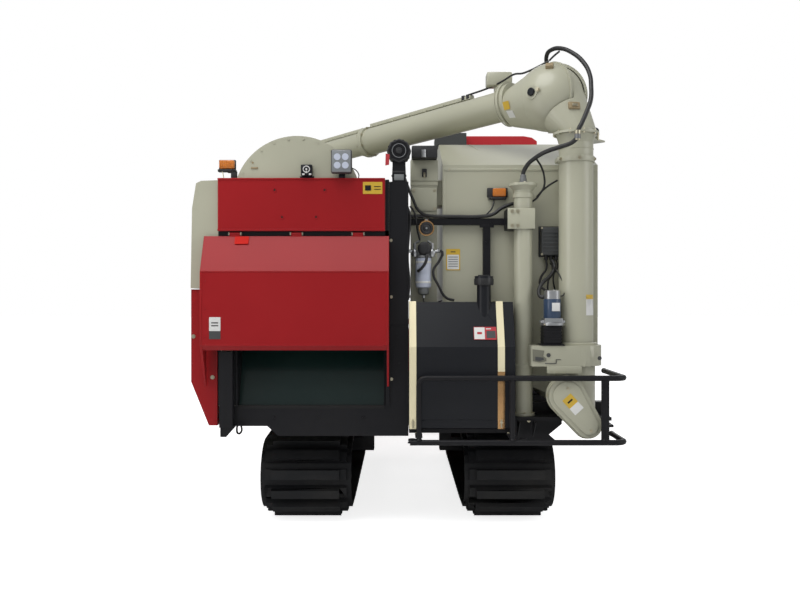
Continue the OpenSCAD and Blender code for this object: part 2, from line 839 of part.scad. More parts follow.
// Guard rail round the rear right corner
guard_x0 = 58;
guard_x1 = 1220;
guard_back_y = rear_y + 530;
module guard_loop(x0, z, y1) {
    y0 = rear_y + guard_r;
    bend = 60;
    bar_x(guard_r, x0, guard_x1 - bend, y0, z);
    translate([guard_x1 - bend, y0 + bend, z])
        rotate([0, 0, -90])
            rotate_extrude(angle = 90)
                translate([bend, 0])
                    circle(guard_r);
    bar_y(guard_r, y0 + bend, y1, guard_x1, z);
}
module guard_rail() {
    y0 = rear_y + guard_r;
    color(paint_black) {
        guard_loop(guard_x0 + 40, guard_z1, guard_back_y);
        guard_loop(guard_x0 - 50, guard_z0, guard_back_y - 190);
        for (x = [guard_x0, 582, 1100])
            bar_z(guard_r * 0.94, guard_z0, x == guard_x0 ? guard_z1 - 40 : guard_z1, x, y0);
        translate([guard_x0 + 40, y0, guard_z1 - 40])
            rotate([90, 0, 0])
                rotate([0, 0, 90])
                    rotate_extrude(angle = 90)
                        translate([40, 0])
                            circle(guard_r * 0.94);
        // Brackets to the shelves
        for (x = [guard_x0, 582])
            box(x - 20, x + 20, y0, fuel_y0 + 60, fuel_z0 - 44, fuel_z0 - 30 - seat_gap);
        box(guard_x1 - 110, guard_x1 - 70, y0, pipe_y - 40, column_z0 - 34, column_z0 - 20 - seat_gap);
    }
}

// Column with its flanges
column_z0 = 620;
column_z1 = 1974;
module column() {
    color(paint_beige) {
        bar_z(column_r, column_z0, column_z1, column_x, column_y);
        bar_z(column_r + 14, column_z0, column_z0 + 14, column_x, column_y);
        translate([column_x, column_y, column_z1 - 26])
            cylinder(r1 = column_r, r2 = column_r + 24, h = 26);
        bar_z(column_r + 28, column_z1 - 1, column_z1 + 14, column_x, column_y);
        bar_z(18, column_z1 + 14, column_z1 + 40, column_x, column_y);
    }
}

// ---- unloading auger

pipe_y = rear_y + 250;
pipe_z0 = 945;
neck_z = 2282;
neck_r = 118;
ball_s = 169;
ball_z = 2517;
tube_lift = 30;
cup_r = 204;
bell_l = 290;
collar_t = 309;
gear_z0 = 920;
gear_z1 = 1038;
gear_x0 = 703;
motor_x = 838;
motor_y = pipe_y - 80;
elbow_z0 = 620;
collar_z = 2105;
module slew_frame() {
    translate([pipe_x, pipe_y, 0])
        rotate([0, 0, fold_angle])
            children();
}

// Fixed foot: gear cover, elbow and the trough from the tank
module auger_base() {
    color(paint_beige) {
        difference() {
            translate([0, 0, gear_z0])
                linear_extrude(gear_z1 - gear_z0)
                    gear_outline();
            bar_z(pipe_r + gap, pipe_z0 - gap, gear_z1 + 1, pipe_x, pipe_y);
        }
        bar_z(pipe_r + 10, elbow_z0, gear_z0 + 1, pipe_x, pipe_y);
        bar_y(82, pipe_y, tank_y0 + 20 - seat_gap, pipe_x - 20, 790);
        bar_y(45, rear_y + 104 + seat_gap, pipe_y, guard_top[0] + 50, guard_top[1] + 10);
    }
}
module gear_outline() {
    polygon(concat(
        arc([pipe_x, pipe_y], 145, -90, 165, 24),
        [[column_x + column_r + 9, column_y - column_r - 11], [gear_x0, column_y - column_r - 11],
            [gear_x0, pipe_y - 145]]
    ));
}

// Ring on the tank that steadies the pipe
module pipe_collar() {
    difference() {
        union() {
            bar_z(pipe_r + 8, collar_z, collar_z + 34, pipe_x, pipe_y);
            box(pipe_x - 60, pipe_x + 60, pipe_y + 80, tank_y0 + 2, collar_z, collar_z + 12);
            box(pipe_x - 60, pipe_x + 60, tank_y0 - 12, tank_y0 + 2, tank_eave_z - 160, collar_z + 6);
        }
        bar_z(pipe_r + 1, collar_z - 1, collar_z + 35, pipe_x, pipe_y);
    }
}

module slew_motor() {
    color(paint_black) {
        box(motor_x - 63, motor_x + 40, motor_y - 55, motor_y + 55, gear_z1 + seat_gap, 1156);
        bar_z(70, 1155, 1190, motor_x - 10, motor_y);
    }
    color([0.05, 0.2, 0.5])
        bar_z(46, 1189, 1358, motor_x - 10, motor_y);
}

// Pear-shaped guard over the auger's belt drive
guard_top = [897, 758, 104];
guard_low = [1018, 593, 75];
module pear(a, b, grow) {
    d = [b[0] - a[0], b[1] - a[1]];
    l = norm(d);
    w = atan2(d[1], d[0]);
    q = acos((a[2] - b[2]) / l);
    polygon(concat(
        arc([a[0], a[1]], a[2] + grow, w + q, w + 360 - q, 24),
        arc([b[0], b[1]], b[2] + grow, w - q, w + q, 16)
    ));
}
module belt_guard() {
    color(paint_beige) {
        along_y(rear_y + 42, rear_y + 100)
            pear(guard_top, guard_low, 0);
        along_y(rear_y + 94, rear_y + 104)
            pear(guard_top, guard_low, 9);
    }
}

// Swinging pipe with the elbow and its ball
lift_a = [20, 2330];
lift_b = [369, 2470];
lift_side = -234;
lift_stroke = 66;
lift_max = 25;
bead_h = 8;
// The bell's side of its mouth: two upright planes through the ball's middle
mouth_angle = 69;
module mouth_side(grow) {
    for (s = [-1, 1])
        rotate([0, 0, s * mouth_angle])
            translate([-grow, -300, -300])
                cube(600);
}
swing_pin_r = 18;
module ball(r) {
    rotate([0, 90, 0])
        sphere(r = r);
}
module unload_pipe() {
    color(paint_beige)
        slew_frame() {
            translate([0, 0, pipe_z0])
                cylinder(r = pipe_r, h = neck_z - pipe_z0 + 1);
            translate([0, 0, neck_z - 14])
                cylinder(r = neck_r + 16, h = 14);
            translate([0, 0, neck_z - 64])
                cylinder(r1 = pipe_r, r2 = neck_r - 2, h = 51);
            // Elbow from the neck to the ball, open where the bell swings over it
            difference() {
                hull() {
                    translate([0, 0, neck_z - 1])
                        cylinder(r = neck_r, h = 12);
                    translate([ball_s, 0, ball_z])
                        sphere(r = ball_r - 1);
                }
                translate([ball_s, 0, ball_z])
                    for (a = [0, lift_max / 2, lift_max])
                        rotate([0, tube_drop - a, 0])
                            intersection() {
                                ball(cup_r + bead_h + gap);
                                mouth_side(gap);
                            }
            }
            translate([ball_s, 0, ball_z])
                ball(ball_r);
            translate([ball_s, 0, ball_z])
                rotate([90, 0, 0])
                    cylinder(r = swing_pin_r, h = 2 * cup_r + 16, center = true);
            // Clevis of the lift cylinder
            clevis(lift_a, lift_side, small_pin_r);
            for (y = [lift_side - eye_w / 2 - 9, lift_side + eye_w / 2 + 1])
                translate([lift_a[0] - 11, y, neck_z - 6])
                    cube([22, 8, lift_a[1] - neck_z + 6]);
            translate([lift_a[0] - 24, lift_side - eye_w / 2 - 9, neck_z - 14])
                cube([48, -lift_side + eye_w / 2 + 9, 10]);
            translate([lift_a[0] - 24, lift_side - 78, neck_z - 14])
                cube([94, 60, 10]);
        }
}

// Pins and cheeks: a clevis stands round the eye at a, its pin along Y
eye_w = 24;
eye_r = 22;
small_pin_r = 10;
open_gap = 5;
module clevis(a, y, pin_r) {
    translate([a[0], y, a[1]])
        rotate([90, 0, 0]) {
            cylinder(r = pin_r, h = eye_w + 18, center = true);
            for (z = [-eye_w / 2 - 9, eye_w / 2 + 1])
                translate([0, 0, z])
                    cylinder(r = pin_r + 9, h = 8);
        }
}

// A cylinder's barrel and rod between a and b, in X and Z, with their pins along Y
module cylinder_frame(a, b, y) {
    d = b - a;
    translate([a[0], y, a[1]])
        rotate([0, -atan2(d[1], d[0]), 0])
            children();
}
neck_l = 18;
module eye(r, bore, x0, x1) {
    difference() {
        union() {
            rotate([90, 0, 0])
                cylinder(r = r, h = eye_w, center = true);
            box(x0, x1, -eye_w / 2, eye_w / 2, -r * 0.6, r * 0.6);
        }
        rotate([90, 0, 0])
            cylinder(r = bore, h = eye_w + 2, center = true);
    }
}
module barrel(a, b, y, r, rod_r, pin_r, stroke) {
    l = norm(b - a);
    mouth = l - pin_r - 34;
    cylinder_frame(a, b, y) {
        eye(pin_r + 12, pin_r + pin_gap, 0, pin_r + neck_l + 1);
        difference() {
            translate([pin_r + neck_l, 0, 0])
                rotate([0, 90, 0])
                    cylinder(r = r, h = mouth - pin_r - neck_l);
            translate([mouth - stroke - 60, 0, 0])
                rotate([0, 90, 0])
                    cylinder(r = rod_r + pin_gap, h = stroke + 61);
        }
    }
}
module rod(a, b, y, r, rod_r, pin_r, stroke) {
    l = norm(b - a);
    mouth = l - pin_r - 34;
    cylinder_frame(a, b, y) {
        translate([mouth - stroke - 40, 0, 0])
            rotate([0, 90, 0])
                cylinder(r = rod_r, h = l - pin_r - neck_l - mouth + stroke + 40);
        translate([l, 0, 0])
            eye(pin_r + open_gap + 11, pin_r + open_gap, -pin_r - neck_l - 1, 0);
    }
}
module lift_barrel() {
    color(paint_black)
        slew_frame()
            barrel(lift_a, lift_b, lift_side, small_r, small_rod_r, small_pin_r, lift_stroke);
}
module lift_rod() {
    color(paint_steel)
        slew_frame()
            rod(lift_a, lift_b, lift_side, small_r, small_rod_r, small_pin_r, lift_stroke);
}

// Auger tube with its bell, flanges and spout
flange_t = 22;
spout_r = 88;
spout_l = 210;
spout_seat_l = 100;
module tube_frame() {
    slew_frame()
        translate([ball_s, 0, ball_z])
            rotate([0, tube_drop, 0])
                children();
}
module along_tube(r, x0, x1) {
    translate([x0, 0, tube_lift])
        rotate([0, 90, 0])
            cylinder(r = r, h = x1 - x0);
}
// The bell: a cone that ends in a ball's skin, with a bead round its mouth
ear_r = 40;
module bell() {
    rotate([0, 90, 0])
        rotate_extrude()
            polygon([[0, 20], [cup_r - 10, 20], [cup_r - 16, 84],
                [cup_r - 34, 130], [tube_r + 24, bell_l], [0, bell_l]]);
    intersection() {
        ball(cup_r);
        mouth_side(0);
    }
    intersection() {
        difference() {
            ball(cup_r + bead_h);
            mouth_side(-14);
        }
        mouth_side(0);
    }
}
module bell_ear() {
    difference() {
        rotate([-90, 0, 0])
            cylinder(r = ear_r, h = cup_r + 3);
        ball(ball_r + gap);
        rotate([-90, 0, 0])
            cylinder(r = swing_pin_r + pin_gap, h = cup_r + 20);
    }
}
module auger_tube() {
    color(paint_beige) {
        tube_frame() {
            difference() {
                bell();
                ball(ball_r + gap);
                rotate([90, 0, 0])
                    cylinder(r = ear_r - 6, h = 4 * cup_r, center = true);
            }
            bell_ear();
            mirror([0, 1, 0])
                bell_ear();
            along_tube(tube_r, bell_l - 12, tube_joint - ball_s);
            along_tube(tube_r + 30, bell_l - 8, collar_t + 1);
            along_tube(tube_r + 42, collar_t, collar_t + 16);
            along_tube(tube_r + 13, tube_joint - ball_s - flange_t, tube_joint - ball_s + flange_t);
            along_tube(tube_end_r, tube_joint - ball_s + flange_t - 1, tube_end - ball_s);
            along_tube(tube_end_r + 12, tube_end - ball_s - 6, tube_end - ball_s + 8);
            // Spout that turns the grain down
            translate([tube_end - ball_s - spout_r - 14, 0, tube_lift - spout_l])
                spout();
        }
        // Bracket for the lift cylinder's rod
        slew_frame() {
            clevis(lift_b, lift_side, small_pin_r);
            for (y = [lift_side - eye_w / 2 - 9, lift_side + eye_w / 2 + 1])
                translate([lift_b[0] - 14, y, lift_b[1]])
                    cube([28, 8, 58]);
            translate([lift_b[0] - 14, lift_side - eye_w / 2 - 9, lift_b[1] + 46])
                cube([28, -lift_side - 110, 14]);
        }
    }
}
module spout() {
    difference() {
        union() {
            cylinder(r = spout_r, h = spout_l);
            translate([0, 0, spout_seat_l])
                cylinder(r = spout_r + 4, h = spout_l - spout_seat_l);
        }
        translate([0, 0, -1])
            cylinder(r = spout_r - spout_wall, h = spout_bore_l + 1);
    }
}
spout_wall = 5;
spout_bore_l = 90;

// Saddle on the drum cover that holds the folded tube
rest_s = 2440;
module auger_rest() {
    rest_z = ball_z + tube_lift - (rest_s - ball_s) * tan(tube_drop) - tube_end_r - gap - 2;
    color(paint_black)
        difference() {
            slew_frame()
                translate([rest_s, 0, 0]) {
                    translate([-30, -95, rest_z - 14])
                        cube([60, 150, 14]);
                    translate([-30, -tube_end_r - gap - 14, rest_z - 1])
                        cube([60, 12, 70]);
                    for (y = [-60, 40])
                        translate([-6, y, drum_z + 300])
                            cube([12, 20, rest_z - 13 - drum_z - 300]);
                }
            bar_y(drum_r - 2 + seat_gap, drum_y0 + 20, shell_y1, drum_x, drum_z, $fn = 96);
        }
}

// ---- engine and operator station

station_x0 = 205;
station_x1 = 1130;
bay_y0 = -880;
bay_y1 = -120;
bay_z1 = 1290;
module engine() {
    color(paint_steel)
        difference() {
            box(300, 880, bay_y0 + 70, bay_y1 - 60, base_z, 1210);
            box(299, 881, bay_y0 + 69, bay_y0 + 150, 1090, 1211);
        }
}
module engine_cover() {
    // Ears and pins that the radiator's door turns on
    color(paint_beige)
        for (z = [screen_z0 - 9, screen_z1 + 1]) {
            box(station_x1 - 1, door_x + screen_t, screen_y1 - screen_t, screen_y1, z, z + 8);
            bar_z(door_pin_r, z - 20, z + 28, door_x + screen_t / 2, screen_y1 - screen_t / 2);
        }
    color(paint_beige)
        difference() {
            union() {
                along_x(station_x0, station_x1)
                    polygon([
                        [bay_y0, base_z], [bay_y1, base_z], [bay_y1, bay_z1 - 60],
                        [bay_y1 - 60, bay_z1], [bay_y0, bay_z1]
                    ]);
            }
            along_x(station_x0 + sheet, station_x1 + 1)
                polygon([
                    [bay_y0 + sheet, base_z - 1], [bay_y1 - sheet, base_z - 1],
                    [bay_y1 - sheet, bay_z1 - 66], [bay_y1 - 66, bay_z1 - sheet], [bay_y0 + sheet, bay_z1 - sheet]
                ]);
        }
}
// Screened door in front of the radiator, on the right side
door_x = station_x1 + 8;
door_bar = 26;
screen_y0 = bay_y0 + 4;
screen_y1 = bay_y1 - 4;
screen_z0 = base_z + 24;
screen_z1 = bay_z1 - 90;
screen_t = 30;
module radiator_door() {
    y0 = screen_y0;
    y1 = screen_y1;
    z0 = screen_z0;
    z1 = screen_z1;
    color(paint_black) {
        difference() {
            box(door_x, door_x + screen_t, y0, y1, z0, z1);
            box(door_x - 1, door_x + 31, y0 + 50, y1 - 50, z0 + 50, z1 - 50);
            bar_z(door_pin_r + pin_gap, z0 - 1, z1 + 1, door_x + screen_t / 2, y1 - screen_t / 2);
        }
        for (k = [1:11])
            let (z = z0 + 50 + k * (z1 - z0 - 100) / 12)
            box(door_x + 8, door_x + 14, y0 + 49, y1 - 49, z - 5, z + 5);
    }
}

// Floor with its steps
dash_y = 560;
console_x0 = 430;
console_x1 = station_x1 - 250;
front_edge_y = 790;
step_z = [430, 690];
module operator_floor() {
    color(paint_black) {
        box(station_x0, station_x1, bay_y1 + seat_gap, front_edge_y, floor_z - 40, floor_z);
        for (x = [station_x0 + 30, station_x1 - 90])
            box(x, x + 60, 40, 120, base_z, floor_z - 39);
        for (x = [station_x0 + 30, station_x1 - 90])
            along_x(x, x + 60)
                polygon([[119, base_z], [119, base_z + 60], [front_edge_y - 60, floor_z - 39],
                    [front_edge_y, floor_z - 39]]);
        // Step hung below the right edge
        for (y = [130, 450])
            box(station_x1 - 26, station_x1, y, y + 20, step_z[0], floor_z - 39);
        for (z = step_z)
            box(station_x1 - 150, station_x1, 149, 451, z, z + 20);
    }
}

// Dashboard, side console and levers
module console() {
    color(paint_black) {
        along_x(console_x0, console_x1)
            polygon([
                [dash_y, floor_z + seat_gap], [front_edge_y - 30, floor_z + seat_gap],
                [front_edge_y - 60, floor_z + 430], [dash_y - 70, floor_z + 330], [dash_y - 60, floor_z + 250]
            ]);
        along_x(station_x0 + 10, station_x0 + 190)
            polygon([
                [bay_y1 + 6, floor_z + seat_gap], [dash_y - 120, floor_z + seat_gap],
                [dash_y - 120, floor_z + 360], [bay_y1 + 120, floor_z + 420], [bay_y1 + 6, floor_z + 420]
            ]);
        // Steering lever and its knob
        bar([840, dash_y - 10, floor_z + 330], [840, dash_y - 40, floor_z + 500], 12);
        translate([840, dash_y - 40, floor_z + 510])
            sphere(r = 26);
        for (lever = [[station_x0 + 60, 40], [station_x0 + 60, 200], [station_x0 + 130, 120]]) {
            bar([lever[0], lever[1], floor_z + 360], [lever[0], lever[1] + 30, floor_z + 560], 8);
            translate([lever[0], lever[1] + 31, floor_z + 570])
                sphere(r = 20);
        }
    }
}

seat_x = 760;
module seat() {
    color(paint_black) {
        along_x(seat_x - 235, seat_x + 235)
            polygon([
                [-640, bay_z1 + seat_gap], [-170, bay_z1 + seat_gap], [-150, bay_z1 + 60],
                [-180, bay_z1 + 110], [-560, bay_z1 + 90], [-650, bay_z1 + 480],
                [-700, bay_z1 + 520], [-750, bay_z1 + 490], [-700, bay_z1 + 60]
            ]);
        for (x = [seat_x - 285, seat_x + 235 + seat_gap])
            box(x, x + 49, -620, -320, bay_z1 + 180, bay_z1 + 220);
        for (x = [seat_x - 285, seat_x + 235 + seat_gap])
            box(x, x + 49, -640, -600, bay_z1 + seat_gap, bay_z1 + 181);
    }
}

// Canopy and its posts
canopy_x0 = 215;
canopy_x1 = 975;
canopy_y0 = bay_y0 - 25;
canopy_y1 = 560;
module canopy() {
    color(paint_red)
        along_y(canopy_y0, canopy_y1)
            polygon([
                [canopy_x0, canopy_z], [canopy_x1, canopy_z], [canopy_x1, canopy_z + canopy_t * 0.45],
                [canopy_x1 - 40, canopy_z + canopy_t * 0.85], [canopy_x1 - 100, canopy_z + canopy_t],
                [canopy_x0 + 100, canopy_z + canopy_t], [canopy_x0 + 40, canopy_z + canopy_t * 0.85],
                [canopy_x0, canopy_z + canopy_t * 0.45]
            ]);
}
// Dark housing at the canopy's rear left corner
roof_box_w = 233;
module roof_box() {
    color(paint_black)
        along_y(canopy_y0 - 120, canopy_y0 - seat_gap)
            polygon([
                [canopy_x0 - 9, canopy_z - 20], [canopy_x0 - 9 + roof_box_w, canopy_z - 20],
                [canopy_x0 - 9 + roof_box_w, canopy_z + canopy_t], [canopy_x0 + 36, canopy_z + canopy_t],
                [canopy_x0 - 9, canopy_z + canopy_t - 42]
            ]);
}
post_w = 36;
module canopy_posts() {
    color(paint_black) {
        for (x = [canopy_x0 + 20, canopy_x1 - 20 - post_w])
            box(x, x + post_w, bay_y0 + 10, bay_y0 + 10 + post_w, bay_z1 + seat_gap, canopy_z - seat_gap);
        for (x = [canopy_x0 + 20, canopy_x1 - 20 - post_w])
            box(x, x + post_w, dash_y - 60, dash_y - 60 + post_w, floor_z + seat_gap, canopy_z - seat_gap);
        for (y = [bay_y0 + 10, dash_y - 60])
            box(canopy_x0 + 19 + post_w, canopy_x1 - 19 - post_w, y, y + post_w, canopy_z - 50, canopy_z - seat_gap);
    }
}

// ---- header

header_y = 1150;
throat_z = 470;
knife_y = 1900;
auger_y = 1412;
auger_z = 455;
trough_r = flight_r + 18;
wall_top_z = 1020;
sheet_t = 14;
side_t = 16;
side_x = header_w / 2;
feeder_x0 = -895;
feeder_x1 = feeder_x0 + feeder_w;
feeder_wall = 15;
feed_way = [header_y - pivot_y, throat_z - pivot_z];
feed_angle = atan2(feed_way[1], feed_way[0]);
function feed_at(s, h) =
    [pivot_y, pivot_z] + s * ray(feed_angle) + h * ray(feed_angle + 90);
// Where a line at height h above the feeder's middle meets the header's wall
function feed_end(h) =
    [header_y - seat_gap, throat_z + h / cos(feed_angle)];
module feeder_profile(r, back) {
    polygon(concat(
        back > 0
        ? [feed_at(-back, r), feed_at(-back, -r)]
        : arc([pivot_y, pivot_z], r, feed_angle + 90, feed_angle + 270, 16),
        [feed_end(-r), feed_end(r)]
    ));
}

// Lift cylinders under the feeder house, as places in Y and Z
header_a = [178, 732];
header_b = feed_at(800, -feeder_t / 2 - 48);
header_stroke = 170;
header_pin_r = 14;
CYLINDER_X = [-790, -490];
module yz_frame(x) {
    translate([x, 0, 0])
        rotate([0, 0, 90])
            children();
}
module feeder() {
    color(paint_red) {
        difference() {
            along_x(feeder_x0, feeder_x1)
                feeder_profile(feeder_t / 2, 0);
            along_x(feeder_x0 + feeder_wall, feeder_x1 - feeder_wall)
                feeder_profile(feeder_t / 2 - feeder_wall, 300);
            along_x(feeder_x0 + feeder_wall, feeder_x1 - feeder_wall)
                polygon([feed_end(feeder_t / 2 - feeder_wall), feed_end(-feeder_t / 2 + feeder_wall),
                    feed_end(-feeder_t / 2 + feeder_wall) + [5, 0], feed_end(feeder_t / 2 - feeder_wall) + [5, 0]]);
        }
        bar_x(pivot_r, feeder_x0 - gap - ear_t, feeder_x0 + feeder_wall, pivot_y, pivot_z);
        bar_x(pivot_r, feeder_x1 - feeder_wall, feeder_x1 + gap + ear_t, pivot_y, pivot_z);
        for (x = CYLINDER_X) {
            yz_frame(x)
                clevis(header_b, 0, header_pin_r);
            for (w = [-eye_w / 2 - 9, eye_w / 2 + 1])
                along_x(x + w, x + w + 8)
                    polygon([header_b + [-20, -8], header_b + [20, -8], feed_at(860, 1 - feeder_t / 2),
                        feed_at(760, 1 - feeder_t / 2)]);
        }
    }
}
module header_lugs() {
    y0 = CROSS_Y[4] + cross_w;
    for (x = CYLINDER_X) {
        yz_frame(x)
            clevis(header_a, 0, header_pin_r);
        for (w = [-eye_w / 2 - 9, eye_w / 2 + 1])
            along_x(x + w, x + w + 8)
                polygon([
                    [y0 - 1, base_z - 50], [header_a[0] + 20, header_a[1] - 12],
                    [header_a[0] + 8, header_a[1] + 20], [header_a[0] - 14, header_a[1] + 18], [y0 - 1, base_z - 1]
                ]);
    }
}
module header_barrels() {
    color(paint_black)
        for (x = CYLINDER_X)
            yz_frame(x)
                barrel(header_a, header_b, 0, lift_r, lift_rod_r, header_pin_r, header_stroke);
}
module header_rods() {
    color(paint_steel)
        for (x = CYLINDER_X)
            yz_frame(x)
                rod(header_a, header_b, 0, lift_r, lift_rod_r, header_pin_r, header_stroke);
}

// Cutting table: trough, side plates, beams, dividers
reel_pivot = [header_y + 36, 1086];
reel_axis = [front_y - 440, 960];
reel_tube_r = 28;
function trough_line(r) = concat(
    [[auger_y - r, wall_top_z]],
    arc([auger_y, auger_z], r, 180, 262, 14),
    [[knife_y, 158 - (r - trough_r)]]
);
small_a = [1560, 670];
small_b = [1562, 1024];
small_stroke = 106;
small_x = side_x - side_t - 24;
module header_side() {
    along_x(side_x - side_t, side_x)
        polygon([
            [header_y + 5, wall_top_z], [header_y + 5, 300], [1255, 185], [knife_y, 130], [knife_y + 60, 140],
            [knife_y + 60, 260], [1760, 520], [1540, 830], [1300, wall_top_z]
        ]);
    // Crop divider: a pointed nose ahead of the side plate
    intersection() {
        along_x(side_x - 90, side_x + 40)
            polygon([
                [knife_y - 60, 150], [knife_y + 60, 132], [front_y - 40, 120], [front_y, 150],
                [front_y - 20, 185], [knife_y + 280, 330], [knife_y + 60, 430], [knife_y - 60, 430]
            ]);
        linear_extrude(700)
            polygon([
                [side_x - 14, knife_y - 60], [side_x - 48, knife_y + 60], [side_x - 20, front_y],
                [side_x + 8, front_y], [side_x + 30, knife_y + 200], [side_x + 10, knife_y - 60]
            ]);
    }
    // Pin of the reel's cylinder
    bar_x(small_pin_r, small_x - eye_w / 2 - 4, side_x - side_t + 1, small_a[0], small_a[1]);
}
module header_table() {
    color(paint_red) {
        difference() {
            union() {
                along_x(-side_x + side_t - 1, side_x - side_t + 1)
                    polygon(shell_outline(trough_line(trough_r), trough_line(trough_r + sheet_t)));
                // Flange that the feeder house is bolted to, with its webs
                box(feeder_x0 - 30, feeder_x1 + 30, header_y, header_y + 12, 225, 740);
                for (x = [feeder_x0 - 30, feeder_x1 + 10])
                    along_x(x, x + 20)
                        polygon(concat(
                            [[header_y + 80, 225], [header_y + 11, 225], [header_y + 11, auger_z]],
                            arc([auger_y, auger_z], trough_r + 5, 180, 235, 8)
                        ));
            }
            box(feeder_x0 + 20, feeder_x1 - 20, header_y - 5, header_y + 110,
                throat_z - feeder_t / 2 + 10, throat_z + feeder_t / 2 + 20);
        }
        box(-side_x + 4, side_x - 4, header_y - 55, header_y + 6, wall_top_z - 60, wall_top_z);
        box(-side_x + 4, side_x - 4, header_y + 60, header_y + 130, 196, 240);
        both_sides()
            header_side();
        for (x = [-1080, 0, 1080])
            difference() {
                along_x(x - 8, x + 8)
                    polygon([
                        [header_y - 50, wall_top_z - 1], [header_y + 10, wall_top_z - 1],
                        [reel_pivot[0] + 44, reel_pivot[1]], [reel_pivot[0], reel_pivot[1] + 44],
                        [reel_pivot[0] - 50, reel_pivot[1] + 20]
                    ]);
                bar_x(reel_tube_r + pin_gap, x - 20, x + 20, reel_pivot[0], reel_pivot[1]);
            }
    }
}

// Auger across the header, with two flights and its fingers
flight_t = 7;
flight_steps = 20;
drum_half = side_x - side_t - 22;
module flight(x0, turns, hand) {
    n = round(flight_steps * turns);
    points = [for (i = [0:n]) for (q = [[auger_r + 2.6, 0], [flight_r, 0], [flight_r, flight_t], [auger_r + 2.6, flight_t]])
        let (a = hand * 360 * i / flight_steps)
        [x0 + i * flight_pitch / flight_steps + q[1], auger_y + q[0] * cos(a), auger_z + q[0] * sin(a)]];
    walls = [for (i = [0:n - 1]) for (k = [0:3])
        [i * 4 + k, i * 4 + (k + 1) % 4, i * 4 + 4 + (k + 1) % 4, i * 4 + 4 + k]];
    lids = [[3, 2, 1, 0], [n * 4, n * 4 + 1, n * 4 + 2, n * 4 + 3]];
    faces = concat(walls, lids);
    polyhedron(points = points,
        faces = hand > 0 ? faces : [for (f = faces) [for (k = [len(f) - 1:-1:0]) f[k]]]);
}
FINGERS = [for (i = [0:7]) [feeder_x0 + 60 + i * (feeder_w - 120) / 7, i * 135]];
module header_auger() {
    color(paint_red) {
        bar_x(auger_r, -drum_half, drum_half, auger_y, auger_z);
        bar_x(24, -side_x + side_t + seat_gap, side_x - side_t - seat_gap, auger_y, auger_z);
        flight(-drum_half + 10, floor((feeder_x0 + drum_half - 20) / flight_pitch * 10) / 10, 1);
        flight(feeder_x1 + 40, floor((drum_half - feeder_x1 - 60) / flight_pitch * 10) / 10, -1);
    }
    color(paint_steel)
        for (f = FINGERS)
            translate([f[0], auger_y, auger_z])
                rotate([f[1], 0, 0])
                    translate([0, 0, auger_r - 12])
                        cylinder(r = 7, h = 68);
}

// Knife bar with its guards
guard_pitch = (header_w - 2 * 70) / guard_count;
module knife_bar() {
    color(paint_steel) {
        box(-side_x + 60, side_x - 60, knife_y + seat_gap, knife_y + 42, 142, 156);
        for (k = [0:guard_count - 1])
            let (x = -side_x + 70 + (k + 0.5) * guard_pitch)
            translate([x, knife_y + 41, 140])
                linear_extrude(17)
                    polygon([[-14, 0], [14, 0], [4, 84], [0, 96], [-4, 84]]);
    }
}

// Reel: arms, tube, spiders, bats and tines
arm_t = 24;
arm_x = side_x - side_t - 64;
module reel_arms() {
    color(paint_red) {
        bar_x(reel_tube_r, -arm_x, arm_x, reel_pivot[0], reel_pivot[1]);
        both_sides() {
            difference() {
                along_x(arm_x - arm_t, arm_x)
                    union() {
                        polygon([reel_pivot + [-20, 28], reel_pivot + [-20, -28], reel_axis + [0, -26],
                            reel_axis + [0, 26]]);
                        translate(reel_pivot)
                            circle(46);
                        translate(reel_axis)
                            circle(52);
                    }
                bar_x(shaft_r + pin_gap, arm_x - arm_t - 1, arm_x + 1, reel_axis[0], reel_axis[1]);
            }
            bar_x(small_pin_r, arm_x - 1, small_x + eye_w / 2 + 4, small_b[0], small_b[1]);
        }
    }
}
module reel_barrels() {
    color(paint_black)
        both_sides()
            yz_frame(small_x)
                barrel(small_a, small_b, 0, small_r, small_rod_r, small_pin_r, small_stroke);
}
module reel_rods() {
    color(paint_steel)
        both_sides()
            yz_frame(small_x)
                rod(small_a, small_b, 0, small_r, small_rod_r, small_pin_r, small_stroke);
}
shaft_r = 26;
bat_r = 14;
spider_x = arm_x - arm_t - 40;
tine_w = 6;
module reel() {
    color(paint_steel) {
        bar_x(shaft_r, -arm_x + 1, arm_x - 1, reel_axis[0], reel_axis[1]);
        for (x = [-spider_x, 0, spider_x])
            along_x(x - 5, x + 5)
                translate(reel_axis) {
                    circle(70);
                    for (k = [0:bat_count - 1])
                        rotate(90 + k * 360 / bat_count)
                            translate([0, -16])
                                square([reel_r, 32]);
                }
        for (k = [0:bat_count - 1])
            let (c = reel_axis + reel_r * ray(90 + k * 360 / bat_count)) {
                bar_x(bat_r, -spider_x - 12, spider_x + 12, c[0], c[1]);
                for (i = [0:tine_count - 1])
                    let (x = (i + 0.5 - tine_count / 2) * 2 * spider_x / tine_count)
                    box(x - tine_w / 2, x + tine_w / 2, c[0] - tine_w / 2, c[0] + tine_w / 2,
                        c[1] - bat_r - tine_l, c[1] - bat_r + 4);
            }
    }
}

// ---- small fittings

module lamp_amber(x, y, z) {
    color(paint_black)
        box(x - 52, x + 52, y, y + 40, z - 36, z - 20);
    color([0.9, 0.4, 0.05])
        box(x - 48, x + 48, y - 6, y + 36, z - 20, z + 34);
}
module lamps() {
    lamp_amber(-1050, shell_y0 + 10, deck_z + 36);
    lamp_amber(540, tank_y0 - 45, 1948);
    color(paint_black)
        box(535, 545, tank_y0 - 30, tank_y0 - seat_gap, 1916, 1931);
    color(paint_steel)
        box(-442, -322, shell_y0 - 90, shell_y0 - 35, 2022, 2158);
    color(paint_black)
        box(-400, -364, shell_y0 - 36, shell_y0 - 8 - seat_gap, deck_z + 6 + seat_gap, 2080);
}

